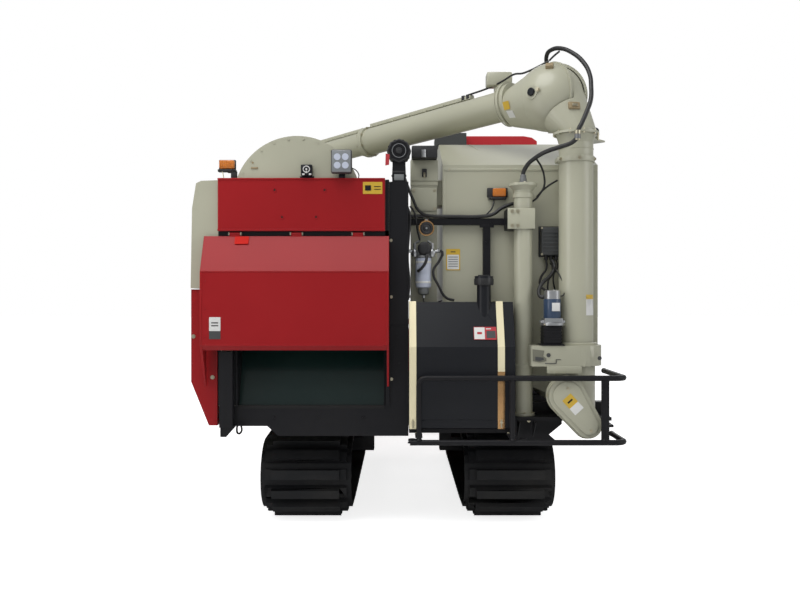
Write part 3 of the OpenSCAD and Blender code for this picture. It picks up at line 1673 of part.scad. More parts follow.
module intake() {
    color(paint_black) {
        bar_y8(68, shell_y0 + 4, shell_y0 + 118, -54, 2165);
        box(-92, -16, shell_y0 + 20, shell_y0 + 110, 1985 + seat_gap, 2140);
    }
}
module bar_y8(r, y0, y1, x, z) {
    translate([x, y0, z])
        rotate([-90, 0, 0])
            rotate([0, 0, 22.5])
                cylinder(r = r, h = y1 - y0, $fn = 8);
}

filter_x = 92;
filter_y = elevator_y0 - 75;
module fuel_filter() {
    color(paint_steel) {
        box(filter_x - 54, filter_x + 60, filter_y - 40, elevator_y0 - seat_gap, 1552, 1612);
        bar_z(48, 1372, 1553, filter_x, filter_y);
        bar_z(34, 1330, 1373, filter_x, filter_y);
    }
    color(paint_black) {
        bar_y(46, frame_y - 46, frame_y - 18, 106, 1706);
        box(98, 114, frame_y - 20, frame_y - 12, 1700, frame_z + 20);
        box(98, 114, frame_y - 20, frame_y - seat_gap, frame_z + 4, frame_z + 20);
    }
}

// Hose from the column's fitting round the elbow, in two parts at the swing joint
hose_r = 14;
HOSE_ROOT = [
    [column_x, column_y, column_z1 + 40.3], [column_x, column_y, 2046], [700, -2240, 2092], [742, -2290, 2130],
    [800, -2345, 2158], [868, -2390, 2176], [930, -2420, 2196], [955, -2432, 2222], [958, -2434, 2240]
];
HOSE_AUGER = [
    [958, -2434, 2240.6], [962, -2436, 2262], [985, -2434, 2310], [1012, -2424, 2370], [1038, -2410, 2440],
    [1046, -2386, 2520], [1046, -2350, 2600], [1020, -2290, 2690], [970, -2230, 2760], [915, -2165, 2805],
    [872, -2108, 2815], [850, -2060, 2800], [862, -2005, 2745], [922, -1962, 2680], [1002, -1945, 2610],
    [1060, -1960, 2540], [1098, -1979, 2450], [1128, -1984, 2378], [1139, -1998, 2325], [1142.5, -2004, 2300],
    [1142.5, -2004, 2278.3]
];
module hose_root() {
    color(paint_black)
        hose(HOSE_ROOT, hose_r, 10);
}
module hose_auger() {
    color(paint_black)
        hose(HOSE_AUGER, hose_r, 10);
}

stand() chassis();
stand() track_frames();
stand() rollers();
stand() drive();
stand() track_left();
stand() track_right();
stand() thresher();
stand() drum_cover();
stand() rear_panel();
stand() hood();
stand() outlet_panel();
stand() side_cover();
stand() side_door_rear();
stand() side_door_front();
stand() grain_tank();
stand() tank_hatch();
stand() grain_elevator();
stand() fuel_tank();
stand() fuel_straps();
stand() rear_frame();
stand() guard_rail();
stand() column();
stand() slew_motor();
stand() auger_base();
stand() belt_guard();
stand() unload_pipe();
stand() auger_tube();
stand() lift_barrel();
stand() lift_rod();
stand() auger_rest();
stand() engine();
stand() engine_cover();
stand() radiator_door();
stand() operator_floor();
stand() console();
stand() seat();
stand() canopy();
stand() roof_box();
stand() canopy_posts();
stand() feeder();
stand() header_table();
stand() header_auger();
stand() knife_bar();
stand() reel_arms();
stand() reel();
stand() header_barrels();
stand() header_rods();
stand() reel_barrels();
stand() reel_rods();
stand() lamps();
stand() intake();
stand() fuel_filter();
stand() hose_root();
stand() hose_auger();
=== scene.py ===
"""Finishes of a tracked rice combine: paint, rubber, fittings, labels left blank, wiring and stage."""

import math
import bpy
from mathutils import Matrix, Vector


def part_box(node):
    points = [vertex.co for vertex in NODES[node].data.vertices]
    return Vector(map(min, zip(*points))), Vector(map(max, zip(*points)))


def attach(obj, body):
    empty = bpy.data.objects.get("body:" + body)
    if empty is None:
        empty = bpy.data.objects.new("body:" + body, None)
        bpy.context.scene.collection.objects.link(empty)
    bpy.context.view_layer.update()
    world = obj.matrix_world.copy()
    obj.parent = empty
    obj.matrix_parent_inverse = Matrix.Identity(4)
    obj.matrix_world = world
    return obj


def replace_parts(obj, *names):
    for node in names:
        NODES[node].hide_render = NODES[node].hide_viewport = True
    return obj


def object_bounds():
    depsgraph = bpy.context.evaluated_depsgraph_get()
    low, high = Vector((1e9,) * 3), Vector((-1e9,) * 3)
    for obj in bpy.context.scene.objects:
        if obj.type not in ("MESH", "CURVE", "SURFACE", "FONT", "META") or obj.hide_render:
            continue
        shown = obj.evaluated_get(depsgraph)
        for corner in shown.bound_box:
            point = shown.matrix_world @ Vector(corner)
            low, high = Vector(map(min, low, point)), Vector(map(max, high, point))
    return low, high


bl_info = {
    "name": "Rice combine finish",
    "version": (1, 0, 0),
    "blender": (4, 5, 0),
    "location": "3D View > Sidebar > Combine",
    "description": "Dresses a tracked rice combine with its paint, fittings, hoses and stage",
    "category": "Object",
}

import bmesh
import bpy
from mathutils import Matrix, Vector

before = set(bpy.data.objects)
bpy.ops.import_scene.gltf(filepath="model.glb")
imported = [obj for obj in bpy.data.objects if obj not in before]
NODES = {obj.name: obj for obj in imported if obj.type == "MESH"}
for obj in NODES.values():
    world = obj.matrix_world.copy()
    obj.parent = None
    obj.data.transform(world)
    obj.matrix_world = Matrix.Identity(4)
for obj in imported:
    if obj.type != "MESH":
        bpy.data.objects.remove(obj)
CAD_BOX = [list(v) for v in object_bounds()]
X, Y, Z = Vector((1, 0, 0)), Vector((0, 1, 0)), Vector((0, 0, 1))
MATS, GROUPS = {}, {}
# The finish is drawn over the body's base plane, which stands this far above the ground's zero
DROP = 0.065
# The threshing body's rear face, and the axis that the unloading pipe turns about
BODY_REAR_Y = -2.3355
PIPE_X, PIPE_Y = 0.987, -2.25
# The middle of each track, from the machine's middle
TRACK_X = 0.62
# The unloading tube's ball: its distance from the pipe's axis, and its height
BALL_OUT, BALL_Z = 0.169, 2.517
# The folded tube's heading, and how far it drops towards its spout
TUBE_HEADING, TUBE_DROP = math.radians(135), math.radians(3)


# ---------------------------------------------------------------- materials

# A mix node's sockets while it mixes colours
COLOUR_A, COLOUR_B, COLOUR_OUT = 6, 7, 2


def group(name, inputs, outputs, build):
    """A shader node group with named inputs and outputs."""
    tree = bpy.data.node_groups.new(name, "ShaderNodeTree")
    for label, kind, value in inputs:
        socket = tree.interface.new_socket(label, in_out="INPUT", socket_type=kind)
        socket.default_value = value
    for label, kind in outputs:
        tree.interface.new_socket(label, in_out="OUTPUT", socket_type=kind)
    build(tree, tree.nodes.new("NodeGroupInput"), tree.nodes.new("NodeGroupOutput"))
    return tree


def add(tree, kind, **values):
    """A node with its properties and its inputs' values."""
    node = tree.nodes.new(kind)
    for key, value in values.items():
        if hasattr(node, key):
            setattr(node, key, value)
        else:
            node.inputs[key.replace("_", " ")].default_value = value
    return node


def noise(tree, place, scale, detail=3.0, rough=0.5):
    """A noise over the place, whose scale is a number or a socket."""
    node = add(tree, "ShaderNodeTexNoise", Detail=detail, Roughness=rough)
    tree.links.new(place, node.inputs["Vector"])
    if hasattr(scale, "is_output"):
        tree.links.new(scale, node.inputs["Scale"])
    else:
        node.inputs["Scale"].default_value = scale
    return node.outputs["Fac"]


def step(tree, value, low, high, to=(0.0, 1.0)):
    """The value's span from low to high, spread over another span and held within it."""
    node = add(tree, "ShaderNodeMapRange", From_Min=low, From_Max=high, To_Min=to[0], To_Max=to[1])
    node.clamp = True
    tree.links.new(value, node.inputs["Value"])
    return node.outputs["Result"]


def maths(tree, operation, a, b):
    """One sum of two numbers or sockets."""
    node = add(tree, "ShaderNodeMath", operation=operation)
    for slot, value in ((0, a), (1, b)):
        if hasattr(value, "is_output"):
            tree.links.new(value, node.inputs[slot])
        else:
            node.inputs[slot].default_value = value
    return node.outputs[0]


def build_surface(tree, given, made):
    """Long waves of thin sheet and the fine peel of sprayed paint, as one height."""
    place = add(tree, "ShaderNodeTexCoord").outputs["Object"]
    waves = maths(tree, "MULTIPLY", noise(tree, place, given.outputs["Wave Scale"], 1.0), given.outputs["Wave Depth"])
    peel = maths(tree, "MULTIPLY", noise(tree, place, given.outputs["Peel Scale"], 2.0), given.outputs["Peel Depth"])
    tree.links.new(maths(tree, "ADD", waves, peel), made.inputs["Height"])


def build_weather(tree, given, made):
    """Dust that gathers low down and in patches, and slow changes of shade."""
    place = add(tree, "ShaderNodeTexCoord").outputs["Object"]
    split = add(tree, "ShaderNodeSeparateXYZ")
    tree.links.new(place, split.inputs[0])
    low = step(tree, split.outputs["Z"], 0.1, 1.5, (1.0, 0.12))
    patches = step(tree, noise(tree, place, 2.3, 6.0, 0.62), 0.42, 0.78)
    dust = maths(tree, "MULTIPLY", maths(tree, "MULTIPLY", low, patches), given.outputs["Dust"])
    shade = step(tree, noise(tree, place, 1.1, 3.0), 0.3, 0.7, (0.9, 1.08))
    tint = add(tree, "ShaderNodeMix", data_type="RGBA", blend_type="MULTIPLY")
    tint.inputs["Factor"].default_value = 1.0
    grey = add(tree, "ShaderNodeCombineColor")
    for k in range(3):
        tree.links.new(shade, grey.inputs[k])
    tree.links.new(given.outputs["Colour"], tint.inputs[COLOUR_A])
    tree.links.new(grey.outputs[0], tint.inputs[COLOUR_B])
    over = add(tree, "ShaderNodeMix", data_type="RGBA")
    tree.links.new(dust, over.inputs["Factor"])
    tree.links.new(tint.outputs[COLOUR_OUT], over.inputs[COLOUR_A])
    tree.links.new(given.outputs["Dust Colour"], over.inputs[COLOUR_B])
    tree.links.new(over.outputs[COLOUR_OUT], made.inputs["Colour"])
    tree.links.new(dust, made.inputs["Mask"])


def build_scuffs(tree, given, made):
    """Short rubbed marks and scratches, as a mask."""
    place = add(tree, "ShaderNodeTexCoord").outputs["Object"]
    bend = add(tree, "ShaderNodeMapping")
    bend.inputs["Scale"].default_value = (1.0, 1.0, 5.0)
    tree.links.new(place, bend.inputs["Vector"])
    lines = noise(tree, bend.outputs[0], given.outputs["Scale"], 8.0, 0.75)
    where = step(tree, noise(tree, place, 3.1, 2.0), 0.45, 0.65)
    mask = maths(tree, "MULTIPLY", step(tree, lines, 0.6, 0.68), where)
    tree.links.new(maths(tree, "MULTIPLY", mask, given.outputs["Amount"]), made.inputs["Mask"])


def make_groups():
    """The effects that all the finishes share."""
    F, C = "NodeSocketFloat", "NodeSocketColor"
    return {
        "surface": group("Sheet surface", [("Wave Scale", F, 1.6), ("Wave Depth", F, 1.0), ("Peel Scale", F, 220.0),
                                           ("Peel Depth", F, 0.02)], [("Height", F)], build_surface),
        "weather": group("Weather", [("Colour", C, (1, 1, 1, 1)), ("Dust Colour", C, (0.4, 0.36, 0.28, 1)),
                                     ("Dust", F, 0.3)], [("Colour", C), ("Mask", F)], build_weather),
        "scuffs": group("Scuffs", [("Scale", F, 18.0), ("Amount", F, 0.3)], [("Mask", F)], build_scuffs),
    }


def finish(name, colour, rough=0.4, metal=0.0, coat=0.0, dust=0.25, scuff=0.15, waves=(1.6, 1.0), peel=(220.0, 0.02),
           bump=0.12, bare=(0.3, 0.29, 0.27), coat_rough=0.08, glow=None, distance=0.004, shine=0.5):
    """One finished material from the shared effects."""
    made = bpy.data.materials.new(name)
    made.use_nodes = True
    tree = made.node_tree
    shader = tree.nodes["Principled BSDF"]
    colour = (*colour, 1.0)
    made.diffuse_color = colour

    def placed(key, **values):
        node = tree.nodes.new("ShaderNodeGroup")
        node.node_tree = GROUPS[key]
        for label, value in values.items():
            node.inputs[label.replace("_", " ")].default_value = value
        return node

    weather = placed("weather", Colour=colour, Dust=dust)
    scuffs = placed("scuffs", Amount=scuff)
    mix = add(tree, "ShaderNodeMix", data_type="RGBA")
    tree.links.new(scuffs.outputs["Mask"], mix.inputs["Factor"])
    tree.links.new(weather.outputs["Colour"], mix.inputs[COLOUR_A])
    mix.inputs[COLOUR_B].default_value = (*bare, 1.0)
    tree.links.new(mix.outputs[COLOUR_OUT], shader.inputs["Base Color"])
    worn = maths(tree, "ADD", maths(tree, "MULTIPLY", weather.outputs["Mask"], 0.45),
                 maths(tree, "MULTIPLY", scuffs.outputs["Mask"], 0.3))
    tree.links.new(step(tree, worn, 0.0, 1.0, (rough, 1.0)), shader.inputs["Roughness"])
    surface = placed("surface", Wave_Scale=waves[0], Wave_Depth=waves[1], Peel_Scale=peel[0], Peel_Depth=peel[1])
    relief = add(tree, "ShaderNodeBump", Strength=bump, Distance=distance)
    tree.links.new(surface.outputs["Height"], relief.inputs["Height"])
    tree.links.new(relief.outputs["Normal"], shader.inputs["Normal"])
    shader.inputs["Metallic"].default_value = metal
    shader.inputs["Specular IOR Level"].default_value = shine
    shader.inputs["Coat Weight"].default_value = coat
    shader.inputs["Coat Roughness"].default_value = coat_rough
    if glow:
        shader.inputs["Emission Color"].default_value = (*glow[0], 1.0)
        shader.inputs["Emission Strength"].default_value = glow[1]
    MATS[name] = made


def make_materials(tones):
    """Every finish of the machine, by name."""
    red, beige, black = tuple(tones.red), tuple(tones.beige), tuple(tones.black)
    finish("red paint", red, 0.36, coat=0.1, dust=0.02, scuff=0.03, waves=(1.3, 2.2), bump=0.35,
           bare=(0.2, 0.02, 0.02), shine=0.16)
    finish("beige paint", beige, 0.36, coat=0.2, dust=0.1, scuff=0.08, bump=0.2, bare=(0.33, 0.32, 0.27))
    finish("black paint", black, 0.42, coat=0.03, dust=0.02, scuff=0.1, bare=(0.03, 0.03, 0.03), shine=0.2)
    finish("tank plastic", (0.0075, 0.0085, 0.0115), 0.36, coat=0.03, dust=0.01, scuff=0.1, peel=(320.0, 0.08),
           bump=0.2, bare=(0.035, 0.035, 0.04), shine=0.28)
    finish("dull plastic", (0.016, 0.016, 0.018), 0.55, dust=0.1, scuff=0.2, peel=(420.0, 0.2), bump=0.3)
    finish("brass band", (0.52, 0.3, 0.13), 0.24, metal=0.8, dust=0.05, scuff=0.15, bare=(0.42, 0.24, 0.12))
    # Partly painted reflection: the straps are brass, made near white so that their colour also stands in for the
    # bright sheen on the bands
    finish("pale brass with painted sheen", (0.95, 0.86, 0.58), 0.22, metal=0.25, dust=0.03, scuff=0.08, bare=(0.6, 0.42, 0.16))
    finish("bare steel", (0.42, 0.42, 0.42), 0.36, metal=0.9, dust=0.2, scuff=0.4, bare=(0.2, 0.2, 0.2))
    finish("cast metal", (0.2, 0.205, 0.21), 0.5, metal=0.6, dust=0.25, scuff=0.2, peel=(160.0, 0.5), bump=0.5)
    finish("chrome", (0.72, 0.73, 0.75), 0.12, metal=1.0, dust=0.04, scuff=0.05)
    finish("rubber", (0.009, 0.0095, 0.011), 0.6, shine=0.3, dust=0.05, scuff=0.3, peel=(140.0, 0.4), bump=0.6,
           bare=(0.045, 0.045, 0.045))
    finish("green paint", (0.006, 0.02, 0.018), 0.28, shine=0.3, coat=0.15, dust=0.03, scuff=0.15, waves=(2.0, 2.4),
           bump=0.5, bare=(0.05, 0.08, 0.07))
    finish("motor blue", (0.028, 0.055, 0.11), 0.35, coat=0.15, dust=0.03)
    finish("motor silver", (0.45, 0.46, 0.47), 0.3, metal=0.9, dust=0.08)
    finish("seat vinyl", (0.018, 0.018, 0.019), 0.5, dust=0.1, scuff=0.1, waves=(9.0, 0.8),
           peel=(300.0, 0.6), bump=0.5)
    finish("amber lens", (0.55, 0.17, 0.015), 0.18, coat=0.6, dust=0.05, scuff=0.02, glow=((0.9, 0.25, 0.02), 0.05))
    finish("clear lens", (0.22, 0.235, 0.245), 0.2, coat=0.8, dust=0.05, scuff=0.02)
    finish("white plastic", (0.55, 0.59, 0.7), 0.35, coat=0.2, dust=0.04)
    finish("reflector", (0.55, 0.012, 0.006), 0.5, dust=0.02, scuff=0.02, shine=0.1)
    finish("canopy red", (0.5, 0.032, 0.04), 0.4, dust=0.02, scuff=0.05, shine=0.2)
    # Painted shade: a darkened beige that stands for the shade inside the gear cover's open end
    finish("painted shade beige", (0.17, 0.168, 0.128), 0.5, dust=0.05, scuff=0.05)
    finish("tan cast", (0.3, 0.23, 0.13), 0.5, dust=0.1)
    finish("grey plastic", (0.19, 0.2, 0.2), 0.42, dust=0.15, scuff=0.08)
    finish("dark case", (0.055, 0.058, 0.06), 0.42, dust=0.08, scuff=0.05)
    finish("label white", (0.72, 0.72, 0.7), 0.3, coat=0.4, dust=0.1, scuff=0.06)
    finish("label yellow", (0.62, 0.4, 0.03), 0.3, coat=0.4, dust=0.08, scuff=0.06)
    finish("label red", (0.45, 0.03, 0.04), 0.3, coat=0.4, dust=0.08, scuff=0.06)
    finish("hose rubber", (0.014, 0.014, 0.015), 0.42, dust=0.1, peel=(500.0, 0.2), bump=0.3)
    finish("zinc", (0.5, 0.46, 0.34), 0.3, metal=0.9, dust=0.1, scuff=0.1)
    # Painted shade: near black put into gaps and holes where only shade falls
    finish("painted gap shade", (0.004, 0.004, 0.004), 0.8, dust=0.0, scuff=0.0)


NODE_FINISH = {
    "canopy red": "canopy",
    "red paint": "rear_panel hood side_door_rear side_door_front feeder header_table header_auger reel_arms",
    "beige paint": "thresher drum_cover side_cover grain_tank tank_hatch grain_elevator column auger_base belt_guard "
                   "unload_pipe auger_tube engine_cover",
    "black paint": "chassis track_frames rollers drive rear_frame guard_rail lift_barrel auger_rest radiator_door "
                   "operator_floor canopy_posts header_barrels reel_barrels intake",
    "dark case": "roof_box",
    "tank plastic": "fuel_tank",
    "dull plastic": "console",
    "pale brass with painted sheen": "fuel_straps",
    "bare steel": "knife_bar reel",
    "cast metal": "engine fuel_filter",
    "chrome": "lift_rod header_rods reel_rods",
    "rubber": "track_left track_right",
    "green paint": "outlet_panel",
    "motor blue": "slew_motor",
    "seat vinyl": "seat",
    "amber lens": "lamps",
    "hose rubber": "hose_root hose_auger",
}
# Rounded edges on the pressed and moulded nodes: width in metres
SOFT_EDGES = {
    "hood": 0.005, "rear_panel": 0.004, "fuel_tank": 0.022, "side_cover": 0.008, "side_door_rear": 0.008,
    "side_door_front": 0.008, "grain_tank": 0.006, "grain_elevator": 0.006, "drum_cover": 0.003, "thresher": 0.004,
    "belt_guard": 0.005, "auger_base": 0.004, "canopy": 0.006, "console": 0.014, "chassis": 0.003,
    "rear_frame": 0.003, "feeder": 0.004, "engine_cover": 0.008, "tank_hatch": 0.006, "header_table": 0.003,
    "operator_floor": 0.003,
    "track_left": 0.006, "track_right": 0.006,
}


# -------------------------------------------------------------- mesh helpers

def node_box(name):
    """A node's box, measured from the body's base plane."""
    return [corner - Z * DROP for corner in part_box(name)]


def keep(name, bm, mats, body="root", smooth=35.0, soften=0.0, segments=2):
    """Makes the bmesh a finished piece that rides on a body."""
    bmesh.ops.translate(bm, verts=bm.verts, vec=Z * DROP)
    bmesh.ops.remove_doubles(bm, verts=bm.verts, dist=1e-6)
    bmesh.ops.recalc_face_normals(bm, faces=bm.faces)
    mesh = bpy.data.meshes.new(name)
    bm.to_mesh(mesh)
    bm.free()
    piece = bpy.data.objects.new(name, mesh)
    bpy.context.scene.collection.objects.link(piece)
    for mat in mats:
        mesh.materials.append(MATS[mat])
    mesh.shade_smooth()
    mesh.set_sharp_from_angle(angle=math.radians(smooth))
    if soften:
        edge = piece.modifiers.new("soft edges", "BEVEL")
        edge.width, edge.segments, edge.limit_method, edge.angle_limit = soften, segments, "ANGLE", math.radians(40)
    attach(piece, body)
    return piece


def turn_to(way):
    """The turn that brings the upright axis to the way."""
    return Vector(way).normalized().to_track_quat("Z", "Y").to_matrix().to_4x4()


def paint(verts, index):
    """Gives the faces at these corners the piece's material of that index."""
    for face in {f for v in verts for f in v.link_faces}:
        face.material_index = index


def block(bm, low, high, mat=0, bevel=0.0, turn=None):
    """A box between two corners, with bevelled edges."""
    low, high = Vector(low), Vector(high)
    size, mid = high - low, (high + low) / 2
    place = Matrix.Translation(mid)
    if turn is not None:
        place = place @ turn
    made = bmesh.ops.create_cube(bm, size=1.0, matrix=place @ Matrix.Diagonal((*size, 1.0)))
    paint(made["verts"], mat)
    if bevel:
        edges = list(dict.fromkeys(e for v in made["verts"] for e in v.link_edges))
        out = bmesh.ops.bevel(bm, geom=edges, offset=bevel, segments=2, profile=0.5, affect="EDGES", material=-1)
        return list({v for f in out["faces"] for v in f.verts} | {v for v in made["verts"] if v.is_valid})
    return made["verts"]


def rod(bm, a, b, r, mat=0, sides=20, r2=None):
    """A round bar between two points."""
    a, b = Vector(a), Vector(b)
    made = bmesh.ops.create_cone(bm, cap_ends=True, segments=sides, radius1=r, radius2=r if r2 is None else r2,
                                 depth=(b - a).length, matrix=Matrix.Translation((a + b) / 2) @ turn_to(b - a))
    paint(made["verts"], mat)


def lathe(bm, place, way, profile, mat=0, sides=32):
    """A turned form: profile gives (radius, height) pairs along the way."""
    axis = Matrix.Translation(Vector(place)) @ turn_to(way)
    verts = [bm.verts.new(axis @ Vector((max(r, 1e-5), 0, h))) for r, h in profile]
    edges = [bm.edges.new(pair) for pair in zip(verts, verts[1:])]
    out = bmesh.ops.spin(bm, geom=verts + edges, cent=Vector(place), axis=Vector(way).normalized(),
                         angle=2 * math.pi, steps=sides, use_merge=True)
    found = {v for v in out["geom_last"] if isinstance(v, bmesh.types.BMVert)} | set(verts)
    grown = True
    while grown:
        more = {e.other_vert(v) for v in found for e in v.link_edges} - found
        found |= more
        grown = bool(more)
    paint(found, mat)


def ring(count, radius=1.0, start=0.0):
    """Places at equal steps around a circle, as pairs; start in degrees."""
    turns = [math.radians(start) + 2 * math.pi * k / count for k in range(count)]
    return [(radius * math.cos(a), radius * math.sin(a)) for a in turns]


def about(bm, spot, half, mat=0, bevel=0.003, turn=None):
    """A box of three half sizes about a spot."""
    block(bm, spot - Vector(half), spot + Vector(half), mat, bevel, turn)


def facing(bm, spot, out, half, mat, bevel=0.003):
    """A box about a spot, with its Y side turned outwards."""
    about(bm, spot, half, mat, bevel, out.to_track_quat("Y", "Z").to_matrix().to_4x4())


def bolts(bm, places, way, r=0.008, h=0.006, mat=0):
    """Hexagon heads on washers."""
    way = Vector(way).normalized()
    for p in places:
        p = Vector(p)
        rod(bm, p, p + way * h * 0.3, r * 1.35, mat, 14)
        rod(bm, p + way * h * 0.3, p + way * h, r, mat, 6)


def plate(bm, outline, thick, place, across, up, mat=0, bevel=0.0):
    """A flat plate from an outline in its own plane, thickened against its normal."""
    across, up = Vector(across).normalized(), Vector(up).normalized()
    verts = [bm.verts.new(Vector(place) + across * u + up * v) for u, v in outline]
    face = bm.faces.new(verts)
    face.normal_update()
    out = bmesh.ops.extrude_face_region(bm, geom=[face])
    grown = [g for g in out["geom"] if isinstance(g, bmesh.types.BMVert)]
    bmesh.ops.translate(bm, verts=grown, vec=across.cross(up) * thick)
    paint(verts + grown, mat)
    if bevel:
        rim = dict.fromkeys(e for v in grown for e in v.link_edges if e.verts[0] in grown and e.verts[1] in grown)
        bmesh.ops.bevel(bm, geom=list(rim), offset=bevel, segments=2, profile=0.5, affect="EDGES", material=-1)


def rounded(w, h, r, n=4):
    """Outline of a rectangle with rounded corners, about its middle."""
    out = []
    for k, (sx, sy) in enumerate(((1, 1), (-1, 1), (-1, -1), (1, -1))):
        cx, cy = sx * (w / 2 - r), sy * (h / 2 - r)
        for i in range(n + 1):
            a = math.radians(90 * k + 90 * i / n)
            out.append((cx + r * math.cos(a), cy + r * math.sin(a)))
    return out


def label(name, centre, w, h, across, up, parts, body="root", tilt=0.0):
    """A blank sticker of coloured fields: parts gives (material, from, to) up its height."""
    across, up = Vector(across).normalized(), Vector(up).normalized()
    out = across.cross(up)
    if tilt:
        spin = Matrix.Rotation(math.radians(tilt), 3, out)
        across, up = spin @ across, spin @ up
    bm = bmesh.new()
    mats = []
    for mat, low, high in parts:
        if mat not in mats:
            mats.append(mat)
        mid = Vector(centre) + up * (((low + high) / 2 - 0.5) * h)
        plate(bm, rounded(w, (high - low) * h, min(w, h) * 0.04, 2), 0.0012, mid, across, up, mats.index(mat))
    return keep(name, bm, mats, body)


def wire(name, points, r, mat="hose rubber", body="root"):
    """A hose or lead along a smooth curve through the points."""
    curve = bpy.data.curves.new(name, "CURVE")
    curve.dimensions = "3D"
    curve.bevel_depth = r
    curve.bevel_resolution = 3
    curve.resolution_u = 6
    curve.use_fill_caps = True
    line = curve.splines.new("BEZIER")
    line.bezier_points.add(len(points) - 1)
    for spot, p in zip(line.bezier_points, points):
        spot.co = Vector(p) + Z * DROP
        spot.handle_left_type = spot.handle_right_type = "AUTO"
    curve.materials.append(MATS[mat])
    piece = bpy.data.objects.new(name, curve)
    bpy.context.scene.collection.objects.link(piece)
    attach(piece, body)
    return piece


def wires(table):
    """Leads from a table that gives each name its radius and its points."""
    for name, (r, points) in table.items():
        wire(name, points, r)


# ------------------------------------------------------------- user settings

class CombineTones(bpy.types.PropertyGroup):
    red: bpy.props.FloatVectorProperty(name="Red paint", description="Colour of the red sheets", subtype="COLOR",
                                       size=3, min=0, max=1, default=(0.32, 0.01, 0.013))
    beige: bpy.props.FloatVectorProperty(name="Beige paint", description="Colour of the beige sheets",
                                         subtype="COLOR", size=3, min=0, max=1, default=(0.43, 0.425, 0.325))
    black: bpy.props.FloatVectorProperty(name="Black paint", description="Colour of the frame", subtype="COLOR",
                                         size=3, min=0, max=1, default=(0.009, 0.009, 0.011))


class CombineStage(bpy.types.PropertyGroup):
    distance: bpy.props.FloatProperty(name="Camera distance", description="Distance of the camera behind the middle",
                                      unit="LENGTH", default=7.25)
    height: bpy.props.FloatProperty(name="Camera height", description="Height of the lens",
                                    unit="LENGTH", default=1.365)
    lens: bpy.props.FloatProperty(name="Lens", description="Focal length", subtype="DISTANCE_CAMERA", default=38.25)
    key: bpy.props.FloatProperty(name="Key light", description="Power of the large overhead lamp", default=230.0)


# ------------------------------------------------------------------ operators

class COMBINE_OT_paint(bpy.types.Operator):
    """Gives every node of the model its finish and its rounded edges"""
    bl_idname = "combine.paint"
    bl_label = "Paint the nodes"

    def execute(self, context):
        make_materials(context.scene.combine_tones)
        for mat, names in NODE_FINISH.items():
            for name in names.split():
                mesh = NODES[name].data
                mesh.materials.clear()
                mesh.materials.append(MATS[mat])
        for name, width in SOFT_EDGES.items():
            weld = NODES[name].modifiers.new("weld", "WELD")
            weld.merge_threshold = 1e-5
            edge = NODES[name].modifiers.new("soft edges", "BEVEL")
            edge.width, edge.segments, edge.limit_method, edge.angle_limit = width, 2, "ANGLE", math.radians(35)
        return {"FINISHED"}


class COMBINE_OT_stage(bpy.types.Operator):
    """Sets the floor, the lamps and the camera"""
    bl_idname = "combine.stage"
    bl_label = "Set the stage"

    def execute(self, context):
        look = context.scene.combine_stage
        scene = context.scene
        scene.view_settings.view_transform = "Standard"
        lens = bpy.data.cameras.new("camera")
        lens.lens, lens.sensor_width, lens.clip_end = look.lens, 36.0, 200.0
        camera = bpy.data.objects.new("camera", lens)
        camera.location = (-0.048, -look.distance, look.height)
        camera.rotation_euler = (math.radians(90), 0, 0)
        scene.collection.objects.link(camera)
        scene.camera = camera
        bm = bmesh.new()
        bmesh.ops.create_grid(bm, x_segments=1, y_segments=1, size=60.0)
        mesh = bpy.data.meshes.new("floor")
        bm.to_mesh(mesh)
        bm.free()
        floor = bpy.data.objects.new("floor", mesh)
        floor.location.z = CAD_BOX[0][2]
        scene.collection.objects.link(floor)
        mat = bpy.data.materials.new("pale floor")
        mat.use_nodes = True
        tree = mat.node_tree
        tree.nodes.clear()
        out = tree.nodes.new("ShaderNodeOutputMaterial")
        body = add(tree, "ShaderNodeBsdfDiffuse")
        body.inputs["Color"].default_value = (0.82, 0.82, 0.82, 1)
        lit = add(tree, "ShaderNodeEmission")
        lit.inputs["Color"].default_value = (1, 1, 1, 1)
        path = add(tree, "ShaderNodeLightPath")
        tree.links.new(maths(tree, "MULTIPLY", path.outputs["Is Camera Ray"], 0.82), lit.inputs["Strength"])
        both = add(tree, "ShaderNodeAddShader")
        tree.links.new(body.outputs[0], both.inputs[0])
        tree.links.new(lit.outputs[0], both.inputs[1])
        tree.links.new(both.outputs[0], out.inputs[0])
        mesh.materials.append(mat)
        world = bpy.data.worlds.new("studio")
        scene.world = world
        world.use_nodes = True
        tree = world.node_tree
        tree.nodes.clear()
        out = tree.nodes.new("ShaderNodeOutputWorld")
        sky = add(tree, "ShaderNodeBackground", Strength=0.42)
        sky.inputs["Color"].default_value = (0.97, 0.985, 1, 1)
        white = add(tree, "ShaderNodeBackground", Strength=1.0)
        white.inputs["Color"].default_value = (1, 1, 1, 1)
        path = add(tree, "ShaderNodeLightPath")
        mix = add(tree, "ShaderNodeMixShader")
        seen = maths(tree, "MAXIMUM", path.outputs["Is Camera Ray"], path.outputs["Is Transmission Ray"])
        tree.links.new(seen, mix.inputs[0])
        tree.links.new(sky.outputs[0], mix.inputs[1])
        tree.links.new(white.outputs[0], mix.inputs[2])
        tree.links.new(mix.outputs[0], out.inputs[0])
        for name, place, aim, size, power in (
                ("overhead", (-1.5, -4.5, 6.5), (0, -1.5, 1.2), 5.0, look.key),
                ("left fill", (-7.0, -6.0, 3.0), (0, -1.0, 1.2), 4.0, look.key * 0.45),
                ("right fill", (7.0, -5.0, 3.5), (0, -1.0, 1.4), 4.0, look.key * 0.4),
                ("front", (3.0, 8.0, 6.0), (0, 0.5, 1.0), 5.0, look.key * 0.6)):
            lamp = bpy.data.lights.new(name, "AREA")
            lamp.shape, lamp.size, lamp.energy = "DISK", size, power
            holder = bpy.data.objects.new(name, lamp)
            holder.location = place
            holder.rotation_euler = (Vector(aim) - Vector(place)).to_track_quat("-Z", "Y").to_euler()
            scene.collection.objects.link(holder)
        return {"FINISHED"}


